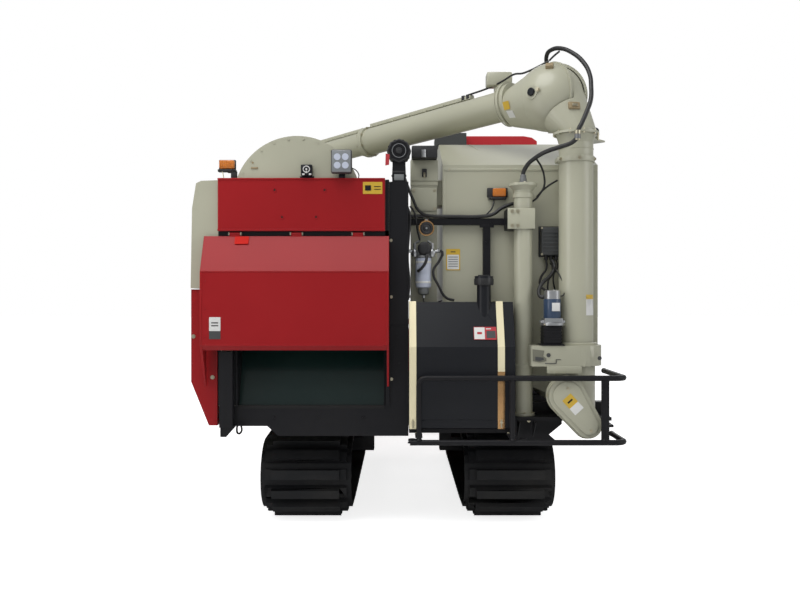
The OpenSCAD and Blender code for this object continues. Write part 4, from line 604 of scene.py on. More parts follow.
HOSE_DIAMETER = 0.026
HOSE_ROOT = [
    (0.681, -2.216, 2.0143), (0.681, -2.216, 2.046), (0.7, -2.24, 2.092), (0.742, -2.29, 2.13),
    (0.8, -2.345, 2.158), (0.868, -2.39, 2.176), (0.93, -2.42, 2.196), (0.955, -2.432, 2.222),
    (0.958, -2.434, 2.24),
]
HOSE_AUGER = [
    (0.958, -2.434, 2.2406), (0.962, -2.436, 2.262), (0.985, -2.434, 2.31), (1.012, -2.424, 2.37),
    (1.038, -2.41, 2.44), (1.046, -2.386, 2.52), (1.046, -2.35, 2.6), (1.02, -2.29, 2.69),
    (0.97, -2.23, 2.76), (0.915, -2.165, 2.805), (0.872, -2.108, 2.815), (0.85, -2.06, 2.8),
    (0.862, -2.005, 2.745), (0.922, -1.962, 2.68), (1.002, -1.945, 2.61), (1.06, -1.96, 2.54),
    (1.098, -1.979, 2.45), (1.128, -1.984, 2.378), (1.139, -1.998, 2.325), (1.1425, -2.004, 2.3),
    (1.1425, -2.004, 2.2783),
]


class COMBINE_OT_hoses(bpy.types.Operator):
    """The hose from the column round the elbow, in two parts at the swing joint"""
    bl_idname = "combine.hoses"
    bl_label = "Hoses"

    def execute(self, context):
        for name, points, node, body in (("hose_to_swivel", HOSE_ROOT, "hose_root", "root"),
                                         ("hose_round_elbow", HOSE_AUGER, "hose_auger", "slewing_pipe")):
            piece = wire(name, points, HOSE_DIAMETER / 2, "hose rubber", body)
            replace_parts(piece, node)
        bm = bmesh.new()
        x, y, joint = *HOSE_ROOT[-1][:2], 2.24
        rod(bm, (x, y, joint - 0.026), (x, y, joint - 0.0005), 0.0175, 0, 24)
        rod(bm, (x, y, joint - 0.034), (x, y, joint - 0.025), 0.0155, 1, 24)
        keep("hose_swivel_low", bm, ["cast metal", "zinc"])
        bm = bmesh.new()
        rod(bm, (x, y, joint + 0.0005), (x + 0.001, y - 0.0005, joint + 0.022), 0.0175, 0, 24)
        x, y = HOSE_AUGER[-1][:2]
        rod(bm, (x, y, 2.2785), (x, y, 2.3), 0.017, 0, 6)
        rod(bm, (x, y, 2.3), (x, y, 2.312), 0.0155, 1, 24)
        keep("hose_swivel_high", bm, ["zinc", "cast metal"], "slewing_pipe")
        return {"FINISHED"}


class COMBINE_OT_rear_sheets(bpy.types.Operator):
    """Fasteners, folds and sticker of the red rear panel, and painted shade in the gap above the hood"""
    bl_idname = "combine.rear_sheets"
    bl_label = "Rear sheets"

    def execute(self, context):
        panel = node_box("rear_panel")
        face = panel[0].y
        bm = bmesh.new()
        for x, z in ((-0.77, 1.933), (-0.482, 1.933), (-0.727, 1.777), (-0.531, 1.777)):
            lathe(bm, (x, face, z), -Y, [(0.013, 0), (0.012, 0.002), (0.008, 0.002),
                                         (0.007, 0.0006), (0, 0.0006)], 1, 24)
            # The dark disc in each fastener's dimple is painted shade
            rod(bm, (x, face, z), (x, face - 0.0012, z), 0.0055, 2, 12)
        block(bm, (panel[0].x, face - 0.004, panel[0].z), (panel[1].x, face, panel[0].z + 0.012), 0, 0.0015)
        block(bm, (panel[0].x, face - 0.004, panel[1].z - 0.01), (panel[1].x, face, panel[1].z), 0, 0.0015)
        # Painted shade: thin black sheets on the body's rear face stand for the shadow in the gap between the red
        # panel and the hood, and down the panel's right edge
        block(bm, (-1.098, BODY_REAR_Y - 0.001, 1.664), (-0.112, BODY_REAR_Y, 1.7), 3)
        block(bm, (-0.133, BODY_REAR_Y - 0.001, 1.664), (-0.1115, BODY_REAR_Y, 1.996), 3)
        keep("rear_panel_fasteners_and_painted_shade", bm, ["red paint", "red paint", "painted gap shade", "black paint"])
        label("rear_panel_sticker", (-0.2056, face - 0.0002, 1.9445), 0.112, 0.069, X, Z,
              [("label yellow", 0.0, 1.0)])
        bm = bmesh.new()
        for x, w, h in ((-0.232, 0.034, 0.03), (-0.178, 0.04, 0.006), (-0.178, 0.04, 0.014)):
            plate(bm, rounded(w, 0.004 if h < 0.02 else h, 0.0015, 1), 0.0008,
                  (x, face - 0.0022, 1.9445 + (0.0 if h > 0.02 else (h - 0.01) * 2)), X, Z, 0)
        keep("rear_panel_sticker_marks", bm, ["tank plastic"])
        return {"FINISHED"}


class COMBINE_OT_hood_trim(bpy.types.Operator):
    """Folded rims, bolts, sticker and reflector of the discharge hood"""
    bl_idname = "combine.hood_trim"
    bl_label = "Hood trim"

    def execute(self, context):
        low, high = node_box("hood")
        face = low.y
        bm = bmesh.new()
        for x in (low.x + 0.0005, high.x - 0.0125):
            block(bm, (x, face - 0.002, 1.045), (x + 0.012, face + 0.001, 1.455), 0, 0.001)
        block(bm, (low.x + 0.03, face - 0.0025, 1.04), (high.x - 0.03, face + 0.001, 1.052), 0, 0.0012)
        rod(bm, (low.x + 0.006, face + 0.001, 1.461), (high.x - 0.006, face + 0.001, 1.461), 0.004, 0, 12)
        keep("hood_rims", bm, ["red paint"], "hood_flap")
        bm = bmesh.new()
        bolts(bm, [(x, face, z) for x in (-1.15, -0.139) for z in (1.09, 1.25, 1.41)], -Y, 0.0045, 0.003)
        keep("hood_bolts", bm, ["red paint"], "hood_flap")
        label("hood_sticker", (-1.0925, face - 0.0002, 1.141), 0.064, 0.124, X, Z,
              [("dark case", 0.0, 0.37), ("label white", 0.37, 1.0)], "hood_flap")
        bm = bmesh.new()
        for z in (1.155, 1.171):
            plate(bm, rounded(0.04, 0.006, 0.0015, 1), 0.0008, (-1.0925, face - 0.0013, z), X, Z, 0)
        keep("hood_sticker_mark", bm, ["dull plastic"], "hood_flap")
        slope = (Vector((0, -2.457, 1.461)) - Vector((0, -2.351, high.z - 0.02))).normalized()
        label("hood_reflector", (-0.957, -2.3695, 1.643), 0.08, 0.05, X, -slope,
              [("reflector", 0.0, 1.0)], "hood_flap")
        return {"FINISHED"}


class COMBINE_OT_drum_trim(bpy.types.Operator):
    """Bolts over the arched cover, and the switch and the latch on its rear end"""
    bl_idname = "combine.drum_trim"
    bl_label = "Drum cover trim"

    def execute(self, context):
        low, high = node_box("drum_cover")
        cx, cz, r = -0.642, 1.879, high.z - 1.879
        face = low.y
        bm = bmesh.new()
        spots = [(cx + (r - 0.018) * math.cos(math.radians(a)), face, cz + (r - 0.018) * math.sin(math.radians(a)))
                 for a in range(28, 156, 14)]
        bolts(bm, spots, -Y, 0.006, 0.004)
        for k in range(14):
            a = math.radians(24 + 132 * k / 13)
            way = Vector((math.cos(a), 0, math.sin(a)))
            spots = [Vector((cx, low.y + dy, cz)) + way * (r - 0.0025) for dy in (0.63, 1.24, 1.85)]
            bolts(bm, spots, way, 0.006, 0.004)
        keep("drum_cover_bolts", bm, ["beige paint"])
        bm = bmesh.new()
        block(bm, (-0.617, face - 0.04, 2.013), (-0.551, face - 0.001, 2.077), 0, 0.006)
        lathe(bm, (-0.584, face - 0.04, 2.049), -Y, [(0.021, 0), (0.02, 0.004), (0.016, 0.004), (0.015, 0)], 1, 32)
        rod(bm, (-0.584, face - 0.04, 2.049), (-0.584, face - 0.045, 2.049), 0.0055, 1, 16)
        rod(bm, (-0.584, face - 0.043, 2.027), (-0.584, face - 0.043, 2.04), 0.004, 1, 10)
        for x in (-0.608, -0.57):
            block(bm, (x, face - 0.0425, 2.015), (x + 0.014, face - 0.0395, 2.025), 1, 0.001)
        block(bm, (-0.625, face - 0.006, 2.004), (-0.543, face - 0.0005, 2.013), 0, 0.001)
        keep("drum_cover_switch", bm, ["tank plastic", "label white"])
        bm = bmesh.new()
        block(bm, (-0.909, face - 0.006, 2.057), (-0.868, face - 0.0003, 2.067), 0, 0.002)
        rod(bm, (-0.898, face, 2.092), (-0.898, face - 0.004, 2.092), 0.006, 0, 12)
        keep("drum_cover_latch", bm, ["tan cast"])
        return {"FINISHED"}


class COMBINE_OT_lamps(bpy.types.Operator):
    """Amber lamps with ribbed lenses, and the square work lamp"""
    bl_idname = "combine.lamps"
    bl_label = "Lamps"

    def execute(self, context):
        bm = bmesh.new()
        for x, y, z, left, right, ear in ((-1.053, -2.325, 2.08, -0.044, 0.044, 0.049),
                                          (0.54, -2.145, 1.941, -0.03, 0.05, 0.062)):
            block(bm, (x + left, y - 0.004, z - 0.018), (x + right, y + 0.034, z + 0.032), 0, 0.008)
            for k in range(7):
                rib = x + left + 0.004 + k * (right - left - 0.01) / 6.5
                block(bm, (rib, y - 0.0065, z - 0.012), (rib + 0.006, y - 0.003, z + 0.027), 0, 0.001)
            block(bm, (x - ear, y + 0.02, z - 0.022), (x + ear, y + 0.04, z + 0.036), 1, 0.005)
            block(bm, (x - 0.052, y, z - 0.036), (x + 0.052, y + 0.04, z - 0.0215), 1, 0.003)
            bolts(bm, [(x - 0.038, y + 0.004, z - 0.03), (x + 0.038, y + 0.004, z - 0.03)], -Y, 0.004, 0.004, 2)
        block(bm, (0.535, -2.13, 1.906), (0.545, -2.1005, 1.925), 1)
        block(bm, (-1.03, -2.32, 2.0025), (-0.996, -2.29, 2.05), 1, 0.004)
        block(bm, (-1.052, -2.312, 2.04), (-1.0, -2.285, 2.058), 1, 0.003)
        rod(bm, (-1.07, -2.318, 2.0025), (-1.078, -2.318, 2.046), 0.003, 2, 8)
        block(bm, (-1.102, -2.325, 2.002), (-0.998, -2.285, 2.006), 1, 0.001)
        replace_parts(keep("lamps_amber", bm, ["amber lens", "dull plastic", "zinc"]), "lamps")
        bm = bmesh.new()
        x0, x1, z0, z1, y = -0.442, -0.322, 2.022, 2.158, -2.425
        block(bm, (x0, y + 0.012, z0), (x1, -2.372, z1), 0, 0.01)
        for k in range(8):
            z = z0 + 0.014 + k * 0.0155
            block(bm, (x0 + 0.01, -2.375, z), (x1 - 0.01, -2.358, z + 0.006), 0, 0.001)
        block(bm, (x0 + 0.006, y + 0.004, z0 + 0.006), (x1 - 0.006, y + 0.013, z1 - 0.006), 1, 0.004)
        for i in range(2):
            for k in range(2):
                spot = Vector((x0 + 0.037 + i * 0.046, y + 0.0042, z0 + 0.044 + k * 0.048))
                lathe(bm, spot, -Y, [(0.0195, 0), (0.0185, 0.0018), (0.012, 0.0022),
                                     (0.0045, 0.0008), (0, 0.0014)], 2, 24)
        block(bm, (-0.4, -2.372, 2.0025), (-0.364, -2.3435, 2.016), 3, 0.002)
        block(bm, (-0.4, -2.36, 2.0025), (-0.364, -2.352, 2.095), 3, 0.002)
        bolts(bm, [(-0.382, -2.344, 2.012)], Z, 0.008, 0.008, 4)
        keep("work_lamp", bm, ["dark case", "clear lens", "white plastic", "black paint", "zinc"])
        wire("work_lamp_lead", [(-0.33, -2.372, 2.06), (-0.3, -2.362, 2.045), (-0.285, -2.35, 2.02),
                                (-0.288, -2.338, 2.006)], 0.003)
        return {"FINISHED"}


class COMBINE_OT_outlet_trim(bpy.types.Operator):
    """Folded rims of the outlet, painted shade in the gap at its foot, the tow hook, and the fasteners of the plates
    beside it
    """
    bl_idname = "combine.outlet_trim"
    bl_label = "Outlet trim"

    def execute(self, context):
        bm = bmesh.new()
        block(bm, (-0.999, -2.3385, 0.688), (-0.988, -2.12, 1.3), 0, 0.002)
        block(bm, (-0.141, -2.3385, 0.688), (-0.1085, -2.3375, 1.052), 0)
        block(bm, (-0.139, -2.3385, 0.688), (-0.13, -2.12, 1.3), 0, 0.002)
        # Painted shade: a near-black strip across the outlet's foot stands for the shade in the gap there
        block(bm, (-0.988, -2.332, 0.672), (-0.141, -2.3, 0.69), 1)
        bolts(bm, [(x, -2.3305, 0.618) for x in (-0.78, -0.52, -0.26)], -Y, 0.007, 0.005)
        for left, right in ((-1.0985, -1.0845), (-1.012, -0.9885)):
            block(bm, (left, BODY_REAR_Y - 0.001, 0.69), (right, BODY_REAR_Y, 1.3))
        plate(bm, [(-1.077, 0.58), (-1.072, 0.516), (-1.043, 0.516), (-0.985, 0.58)], -0.004, (0, -2.388, 0), X, Z, 0)
        block(bm, (-1.077, -2.39, 0.516), (-1.067, -2.33, 0.6), 0, 0.004)
        keep("outlet_rims_and_painted_shade", bm, ["black paint", "painted gap shade"])
        wire("tow_hook", [(-0.976, -2.37, 0.59), (-0.984, -2.374, 0.56), (-0.974, -2.376, 0.534),
                          (-0.957, -2.374, 0.548), (-0.96, -2.37, 0.58)], 0.0055, "black paint")
        bm = bmesh.new()
        for spots, size in ((((-0.101, 1.645), (-0.099, 1.318), (-0.097, 0.842)), (0.007, 0.006, 1)),
                            (((-0.086, 0.98), (-0.086, 1.03), (-0.06, 1.08), (-0.072, 1.1), (-0.05, 0.93)),
                             (0.004, 0.004))):
            bolts(bm, [(x, -2.329, z) for x, z in spots], -Y, *size)
        block(bm, (-0.108, -2.3325, 0.7), (-0.103, -2.328, 1.98), 0, 0.001)
        block(bm, (-0.106, -2.332, 1.148), (0.0, -2.3285, 1.152), 0, 0.001)
        block(bm, (-0.006, -2.3325, 0.7), (0.0005, -2.328, 1.98), 0, 0.001)
        keep("side_plate_fasteners", bm, ["black paint", "zinc"])
        bm = bmesh.new()
        bolts(bm, [(-1.2465, -2.3185, 1.089), (-1.136, -2.3185, 0.8515)], -Y, 0.009)
        keep("side_door_screws", bm, ["zinc"], "rear_side_door")
        return {"FINISHED"}


class COMBINE_OT_fuel_side(bpy.types.Operator):
    """Cap, strap buckles, ribs and sticker of the fuel tank"""
    bl_idname = "combine.fuel_side"
    bl_label = "Fuel tank fittings"

    def execute(self, context):
        x, y = 0.441, -2.292
        bm = bmesh.new()
        lathe(bm, (x, y, 1.205), Z, [(0.04, -0.02), (0.046, -0.004), (0.0425, 0.012),
                                     (0.0412, 0.03), (0.0408, 0.184)], 0, 40)
        lathe(bm, (x, y, 1.3865), Z, [(0.041, 0.0), (0.0545, 0.0), (0.0555, 0.006), (0.0555, 0.036), (0.05, 0.048),
                                      (0.03, 0.0535), (0.0, 0.055)], 1, 48)
        for u, v in ring(20, 0.0552):
            rod(bm, (x + u, y + v, 1.39), (x + u, y + v, 1.424), 0.0024, 1, 8)
        block(bm, (x - 0.034, y - 0.006, 1.436), (x + 0.034, y + 0.006, 1.4465), 1, 0.003)
        keep("fuel_cap", bm, ["tank plastic", "hose rubber"])
        bm = bmesh.new()
        block(bm, (0.5088, -2.4154, 0.566), (0.5492, -2.4143, 0.892), 0, 0.0003)
        for sx in (0.005, 0.509):
            rod(bm, (sx + 0.02, -2.417, 0.574), (sx + 0.02, -2.417, 0.62), 0.005, 1, 12)
            bolts(bm, [(sx + 0.02, -2.417, 0.6)], Z, 0.008, 0.008, 1)
        keep("strap_buckles", bm, ["brass band", "zinc"])
        bm = bmesh.new()
        block(bm, (0.055, -2.4125, 0.612), (0.495, -2.409, 0.618), 0, 0.0015)
        rod(bm, (0.2, -2.4, 0.578), (0.27, -2.4, 0.578), 0.01, 0, 24)
        keep("fuel_tank_ribs", bm, ["tank plastic", "zinc"])
        up = Vector((0, 0.401, 0.916))
        out = X.cross(up)
        spot = Vector((0.4394, -2.379, 1.1087)) + out * 0.0012
        label("fuel_sticker", spot, 0.13, 0.079, X, up, [("label red", 0.0, 1.0)])
        bm = bmesh.new()
        for dx, w, h, mat in ((-0.032, 0.06, 0.072, 0), (0.034, 0.052, 0.044, 1)):
            plate(bm, rounded(w, h, 0.002, 2), 0.0008,
                  spot + X * dx + out * 0.0012 - up * (0.008 if mat else 0.0), X, up, mat)
        plate(bm, rounded(0.028, 0.014, 0.004, 2), 0.0008, spot - X * 0.032 + out * 0.0022, X, up, 2)
        plate(bm, rounded(0.03, 0.006, 0.0015, 1), 0.0008,
              spot + X * 0.02 + up * 0.027 + out * 0.0012, X, up, 0)
        keep("fuel_sticker_field", bm, ["label white", "dark case", "label red"])
        return {"FINISHED"}


class COMBINE_OT_fuel_filter(bpy.types.Operator):
    """Filter with its head, bowl, bands and pipes, and the horn"""
    bl_idname = "combine.fuel_filter"
    bl_label = "Fuel filter and horn"

    def execute(self, context):
        x, y = 0.092, -2.155
        bm = bmesh.new()
        block(bm, (x - 0.046, y - 0.03, 1.556), (x + 0.048, y + 0.04, 1.6), 0, 0.008)
        block(bm, (x - 0.03, y + 0.03, 1.556), (x + 0.04, -2.0803, 1.612), 0, 0.004)
        lathe(bm, (x + 0.004, y - 0.03, 1.606), -Y, [(0.0, 0.0), (0.036, 0.0), (0.04, 0.004), (0.04, 0.02),
                                                     (0.03, 0.028), (0.022, 0.03), (0.0, 0.03)], 5, 32)
        valve = [(0, -0.024), (0.016, -0.024), (0.022, -0.01), (0.022, 0.008), (0.016, 0.018), (0.01, 0.022),
                 (0.01, 0.058), (0, 0.058)]
        for sx in (-1, 1):
            lathe(bm, (x + sx * 0.052, y - 0.016, 1.582), Z, valve, 4, 20)
            rod(bm, (x + sx * 0.062, y - 0.016, 1.588), (x + sx * 0.09, y - 0.022, 1.594), 0.01, 4, 12)
            rod(bm, (x + sx * 0.088, y - 0.022, 1.594), (x + sx * 0.098, y - 0.024, 1.596), 0.015, 4, 6)
            rod(bm, (x + sx * 0.046, y - 0.018, 1.64), (x + sx * 0.024, y - 0.022, 1.652), 0.007, 4, 10)
        lathe(bm, (x, y, 1.552), Z, [(0.0, 0), (0.05, 0), (0.052, 0.004), (0.048, 0.014), (0, 0.014)], 0, 32)
        lathe(bm, (x, y, 1.372), Z, [(0.0, 0.0), (0.034, 0.0), (0.044, 0.004), (0.048, 0.014), (0.048, 0.17),
                                     (0.046, 0.18), (0, 0.18)], 1, 40)
        for z in (1.4, 1.52):
            lathe(bm, (x, y, z), Z, [(0.0486, 0), (0.0496, 0.002), (0.0496, 0.01), (0.0486, 0.012)], 2, 40)
        lathe(bm, (x, y, 1.33), Z, [(0.0, 0), (0.018, 0), (0.03, 0.006), (0.034, 0.018),
                                    (0.034, 0.043), (0, 0.043)], 3, 32)
        rod(bm, (x, y, 1.312), (x, y, 1.331), 0.01, 4, 6)
        mats = ["cast metal", "white plastic", "label white", "grey plastic", "motor silver", "dull plastic"]
        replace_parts(keep("filter", bm, mats), "fuel_filter")
        wires({
            "filter_pipe_in": (0.008, [
                (-0.006, -2.179, 1.596), (-0.022, -2.19, 1.6), (-0.038, -2.205, 1.64), (-0.045, -2.215, 1.72)]),
            "filter_pipe_out": (0.008, [
                (0.19, -2.179, 1.596), (0.204, -2.18, 1.585), (0.19, -2.175, 1.54), (0.15, -2.18, 1.47),
                (0.185, -2.185, 1.38), (0.225, -2.19, 1.315), (0.275, -2.19, 1.298)]),
            "filter_loom": (0.009, [
                (x + 0.02, y - 0.06, 1.57), (x + 0.014, y - 0.075, 1.53), (x - 0.01, y - 0.07, 1.49),
                (x - 0.034, y - 0.05, 1.47)]),
            "filter_drain": (0.004, [
                (x, y, 1.312), (x + 0.004, y - 0.006, 1.29), (x + 0.05, y - 0.03, 1.28), (0.2, -2.23, 1.296)]),
        })
        bm = bmesh.new()
        hx, hz, hy = 0.11, 1.728, -2.148
        lathe(bm, (hx, hy - 0.018, hz), -Y, [(0.0, 0.0), (0.03, 0.0), (0.034, 0.004),
                                             (0.045, 0.008), (0.0465, 0.014)], 0, 40)
        lathe(bm, (hx, hy - 0.032, hz), -Y, [(0.0465, 0.0), (0.047, 0.003), (0.046, 0.006),
                                             (0.04, 0.007), (0.038, 0.005)], 1, 40)
        lathe(bm, (hx, hy - 0.036, hz), -Y, [(0.038, 0.0), (0.028, 0.003), (0.022, 0.0),
                                             (0.012, 0.004), (0, 0.0045)], 2, 40)
        block(bm, (0.102, hy - 0.016, 1.722), (0.118, hy - 0.01, 1.782), 1, 0.001)
        block(bm, (0.098, hy - 0.02, 1.768), (0.122, hy - 0.0005, 1.782), 1, 0.002)
        bolts(bm, [(0.11, hy - 0.02, 1.776)], -Y, 0.006, 0.005, 3)
        rod(bm, (hx, hy - 0.038, hz), (hx, hy - 0.043, hz), 0.006, 3, 12)
        keep("horn", bm, ["dull plastic", "brass band", "dull plastic", "motor silver"])
        return {"FINISHED"}


class COMBINE_OT_column_trim(bpy.types.Operator):
    """Clamp, flanges, rings and bolts of the column, and the bolts of the frame beside it"""
    bl_idname = "combine.column_trim"
    bl_label = "Column fittings"

    def execute(self, context):
        x, y = HOSE_ROOT[0][:2]
        bm = bmesh.new()
        block(bm, (0.581, -2.284, 1.716), (0.742, -2.276, 1.838), 0, 0.003)
        bolts(bm, [(cx, -2.284, cz) for cx in (0.608, 0.641) for cz in (1.735, 1.819)], -Y, 0.008, 0.009, 1)
        for u, v in ring(6, 0.06, 30):
            bolts(bm, [(x + u, y + v, 0.634)], Z, 0.007, 0.008, 1)
            bolts(bm, [(x + u, y + v, 1.988)], Z, 0.005, 0.006, 1)
        lathe(bm, (x, y, 1.988), Z, [(0.03, 0), (0.03, 0.01), (0.021, 0.014), (0.021, 0.03), (0.018, 0.034),
                                     (0.018, 0.05), (0.015, 0.054)], 2, 24)
        lathe(bm, (x, y, 1.9), Z, [(0.0552, 0), (0.06, 0.004), (0.06, 0.03), (0.0552, 0.034)], 0, 40)
        lathe(bm, (x, y, 0.9), Z, [(0.0552, 0), (0.058, 0.003), (0.058, 0.02), (0.0552, 0.023)], 0, 40)
        keep("column_fittings", bm, ["beige paint", "zinc", "cast metal"])
        bm = bmesh.new()
        bolts(bm, [(fx, -2.148, 1.771) for fx in (-0.04, 0.1, 0.5)], -Y, 0.007)
        bolts(bm, [(0.473, -2.148, z) for z in (0.75, 1.05, 1.35, 1.65)], -Y, 0.006, 0.005)
        block(bm, (0.43, -2.15, 1.735), (0.516, -2.146, 1.752), 0, 0.001)
        keep("frame_bolts", bm, ["black paint", "zinc"])
        return {"FINISHED"}


class COMBINE_OT_slew_drive(bpy.types.Operator):
    """Motor, gearbox and leads that turn the unloading auger, and the trim of its gear cover with painted shade in
    the cover's open end
    """
    bl_idname = "combine.slew_drive"
    bl_label = "Slew drive"

    def execute(self, context):
        x, y = 0.833, -2.33
        bm = bmesh.new()
        lathe(bm, (x, y, 1.19), Z, [(0.0, 0.0), (0.046, 0.0), (0.048, 0.004), (0.048, 0.112),
                                    (0.046, 0.116), (0, 0.116)], 0, 48)
        lathe(bm, (x, y, 1.306), Z, [(0.0, 0.0), (0.0475, 0.0), (0.0475, 0.046), (0.04, 0.052), (0.0, 0.052)], 1, 48)
        for u, v in ring(8, 0.0478):
            rod(bm, (x + u, y + v, 1.2), (x + u, y + v, 1.3), 0.0022, 0, 8)
        block(bm, (x - 0.052, y - 0.052, 1.155), (x + 0.052, y + 0.052, 1.196), 2, 0.005)
        block(bm, (x - 0.073, y - 0.03, 1.166), (x + 0.071, y + 0.03, 1.184), 2, 0.007)
        lathe(bm, (x, y, 1.154), Z, [(0, 0), (0.0705, 0.0), (0.0705, 0.014), (0.06, 0.02), (0, 0.02)], 2, 40)
        block(bm, (0.775, -2.385, 1.039), (0.878, -2.275, 1.156), 3, 0.006)
        for k in range(5):
            block(bm, (0.773, -2.387, 1.052 + k * 0.02), (0.88, -2.273, 1.06 + k * 0.02), 3, 0.001)
        bolts(bm, [(sx, sy, 1.156) for sx in (0.782, 0.871) for sy in (-2.378, -2.282)], Z, 0.006, 0.007, 4)
        block(bm, (0.76, -2.402, 1.0385), (0.894, -2.258, 1.046), 3, 0.002)
        block(bm, (x - 0.01, y - 0.0515, 1.236), (x + 0.036, y - 0.04, 1.284), 5, 0.001)
        mats = ["motor blue", "motor silver", "motor silver", "black paint", "zinc", "label white"]
        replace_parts(keep("slew_motor_detail", bm, mats), "slew_motor")
        wire("slew_motor_lead", [(x + 0.046, y + 0.01, 1.32), (x + 0.07, y + 0.02, 1.33), (x + 0.075, y + 0.03, 1.38),
                                 (x + 0.05, y + 0.06, 1.45), (x + 0.02, -2.15, 1.52)], 0.004)
        wire("slew_motor_loom", [(0.862, -2.17, 1.538), (0.873, -2.185, 1.5), (0.846, -2.215, 1.448),
                                 (0.79, -2.25, 1.4), (0.762, -2.29, 1.345), (0.772, -2.32, 1.318),
                                 (0.8, -2.33, 1.322)], 0.012)
        bm = bmesh.new()
        face = -2.3965
        bolts(bm, [(0.8, face, 0.985), (1.092, face, 0.968)], -Y, 0.009, 0.006, 3)
        # Painted shade: the gear cover's open left end is drawn as flat fields, a dark beige field with a darker
        # dark-case field inside it and thin dark-case lines at its edges, standing for the shade inside the opening
        plate(bm, [(-0.048, -0.034), (-0.008, -0.042), (0.03, -0.034), (0.03, -0.018), (0.012, -0.006),
                   (0.018, 0.026), (-0.05, 0.034)], 0.0012, (0.758, face - 0.0003, 0.985), X, Z, 4)
        plate(bm, [(-0.034, -0.03), (-0.01, -0.034), (0.016, -0.026), (0.012, -0.014), (-0.034, -0.008)], 0.0012,
              (0.758, face - 0.0019, 0.985), X, Z, 2)
        for low, high in (((0.842, 0.938), (0.846, 0.96)), ((0.78, 0.936), (0.844, 0.94)),
                          ((0.844, 0.958), (0.87, 0.961))):
            block(bm, (low[0], face - 0.002, low[1]), (high[0], face + 0.001, high[1]), 2)
        block(bm, (0.792, face - 0.001, 0.88), (0.99, -2.375, 0.921), 0, 0.003)
        lathe(bm, (PIPE_X, PIPE_Y, 1.038), Z, [(0.106, 0), (0.122, 0.0), (0.122, 0.012), (0.107, 0.016)], 0, 48)
        keep("gear_cover_trim_and_painted_shade", bm, ["beige paint", "zinc", "dark case", "dark case", "painted shade beige"])
        return {"FINISHED"}


class COMBINE_OT_belt_guard_trim(bpy.types.Operator):
    """Raised face, rim bolts and sticker of the auger's belt guard"""
    bl_idname = "combine.belt_guard_trim"
    bl_label = "Belt guard trim"

    def execute(self, context):
        face = node_box("belt_guard")[0].y
        a, b = Vector((0.897, 0, 0.758)), Vector((1.018, 0, 0.593))
        ra, rb = 0.104, 0.075
        way = (b - a).normalized()
        inset = 0.022
        lean, base = math.acos((ra - rb) / (b - a).length), math.atan2(way.z, way.x)
        outline = []
        for c, r, first, last, n in ((a, ra, base + lean, base + 2 * math.pi - lean, 20),
                                     (b, rb, base - lean, base + lean, 12)):
            for k in range(n + 1):
                w = first + (last - first) * k / n
                outline.append((c.x + (r - inset) * math.cos(w), c.z + (r - inset) * math.sin(w)))
        bm = bmesh.new()
        plate(bm, outline, 0.009, (0, face - 0.0005, 0), X, Z, 0, 0.004)
        keep("belt_guard_face", bm, ["beige paint"])
        bm = bmesh.new()
        for c, r, angles in ((a, ra + 0.001, (30, 75, 125, 180, 235)), (b, rb + 0.001, (-110, -60, -10))):
            for w in map(math.radians, angles):
                bolts(bm, [(c.x + r * math.cos(w), face + 0.052, c.z + r * math.sin(w))], -Y, 0.006)
        bolts(bm, [(a.x, face - 0.0095, a.z + 0.045), (b.x + 0.01, face - 0.0095, b.z - 0.03)], -Y, 0.007, 0.006, 0)
        keep("belt_guard_bolts", bm, ["zinc"])
        label("belt_guard_sticker", (0.925, face - 0.0097, 0.713), 0.064, 0.11, X, Z,
              [("label white", 0.0, 0.44), ("label yellow", 0.44, 1.0)], tilt=42)
        bm = bmesh.new()
        across, up = Vector((0.743, 0, 0.669)), Vector((-0.669, 0, 0.743))
        plate(bm, rounded(0.034, 0.01, 0.002, 1), 0.0006,
              Vector((0.925, face - 0.0111, 0.713)) + up * 0.024, across, up, 0)
        keep("belt_guard_sticker_mark", bm, ["tank plastic"])
        return {"FINISHED"}


def slewed(x, y, z):
    """A place given along the folded tube, across it and up, as a place on the machine."""
    c, s = math.cos(TUBE_HEADING), math.sin(TUBE_HEADING)
    return Vector((PIPE_X + x * c - y * s, PIPE_Y + x * s + y * c, z))


def on_tube(s, y=0.0, z=0.0):
    """A place s along the tube from its ball, y across and z up from the tube's middle."""
    z += 0.03
    along, down = math.cos(TUBE_DROP), math.sin(TUBE_DROP)
    return slewed(BALL_OUT + s * along + z * down, y, BALL_Z - s * down + z * along)


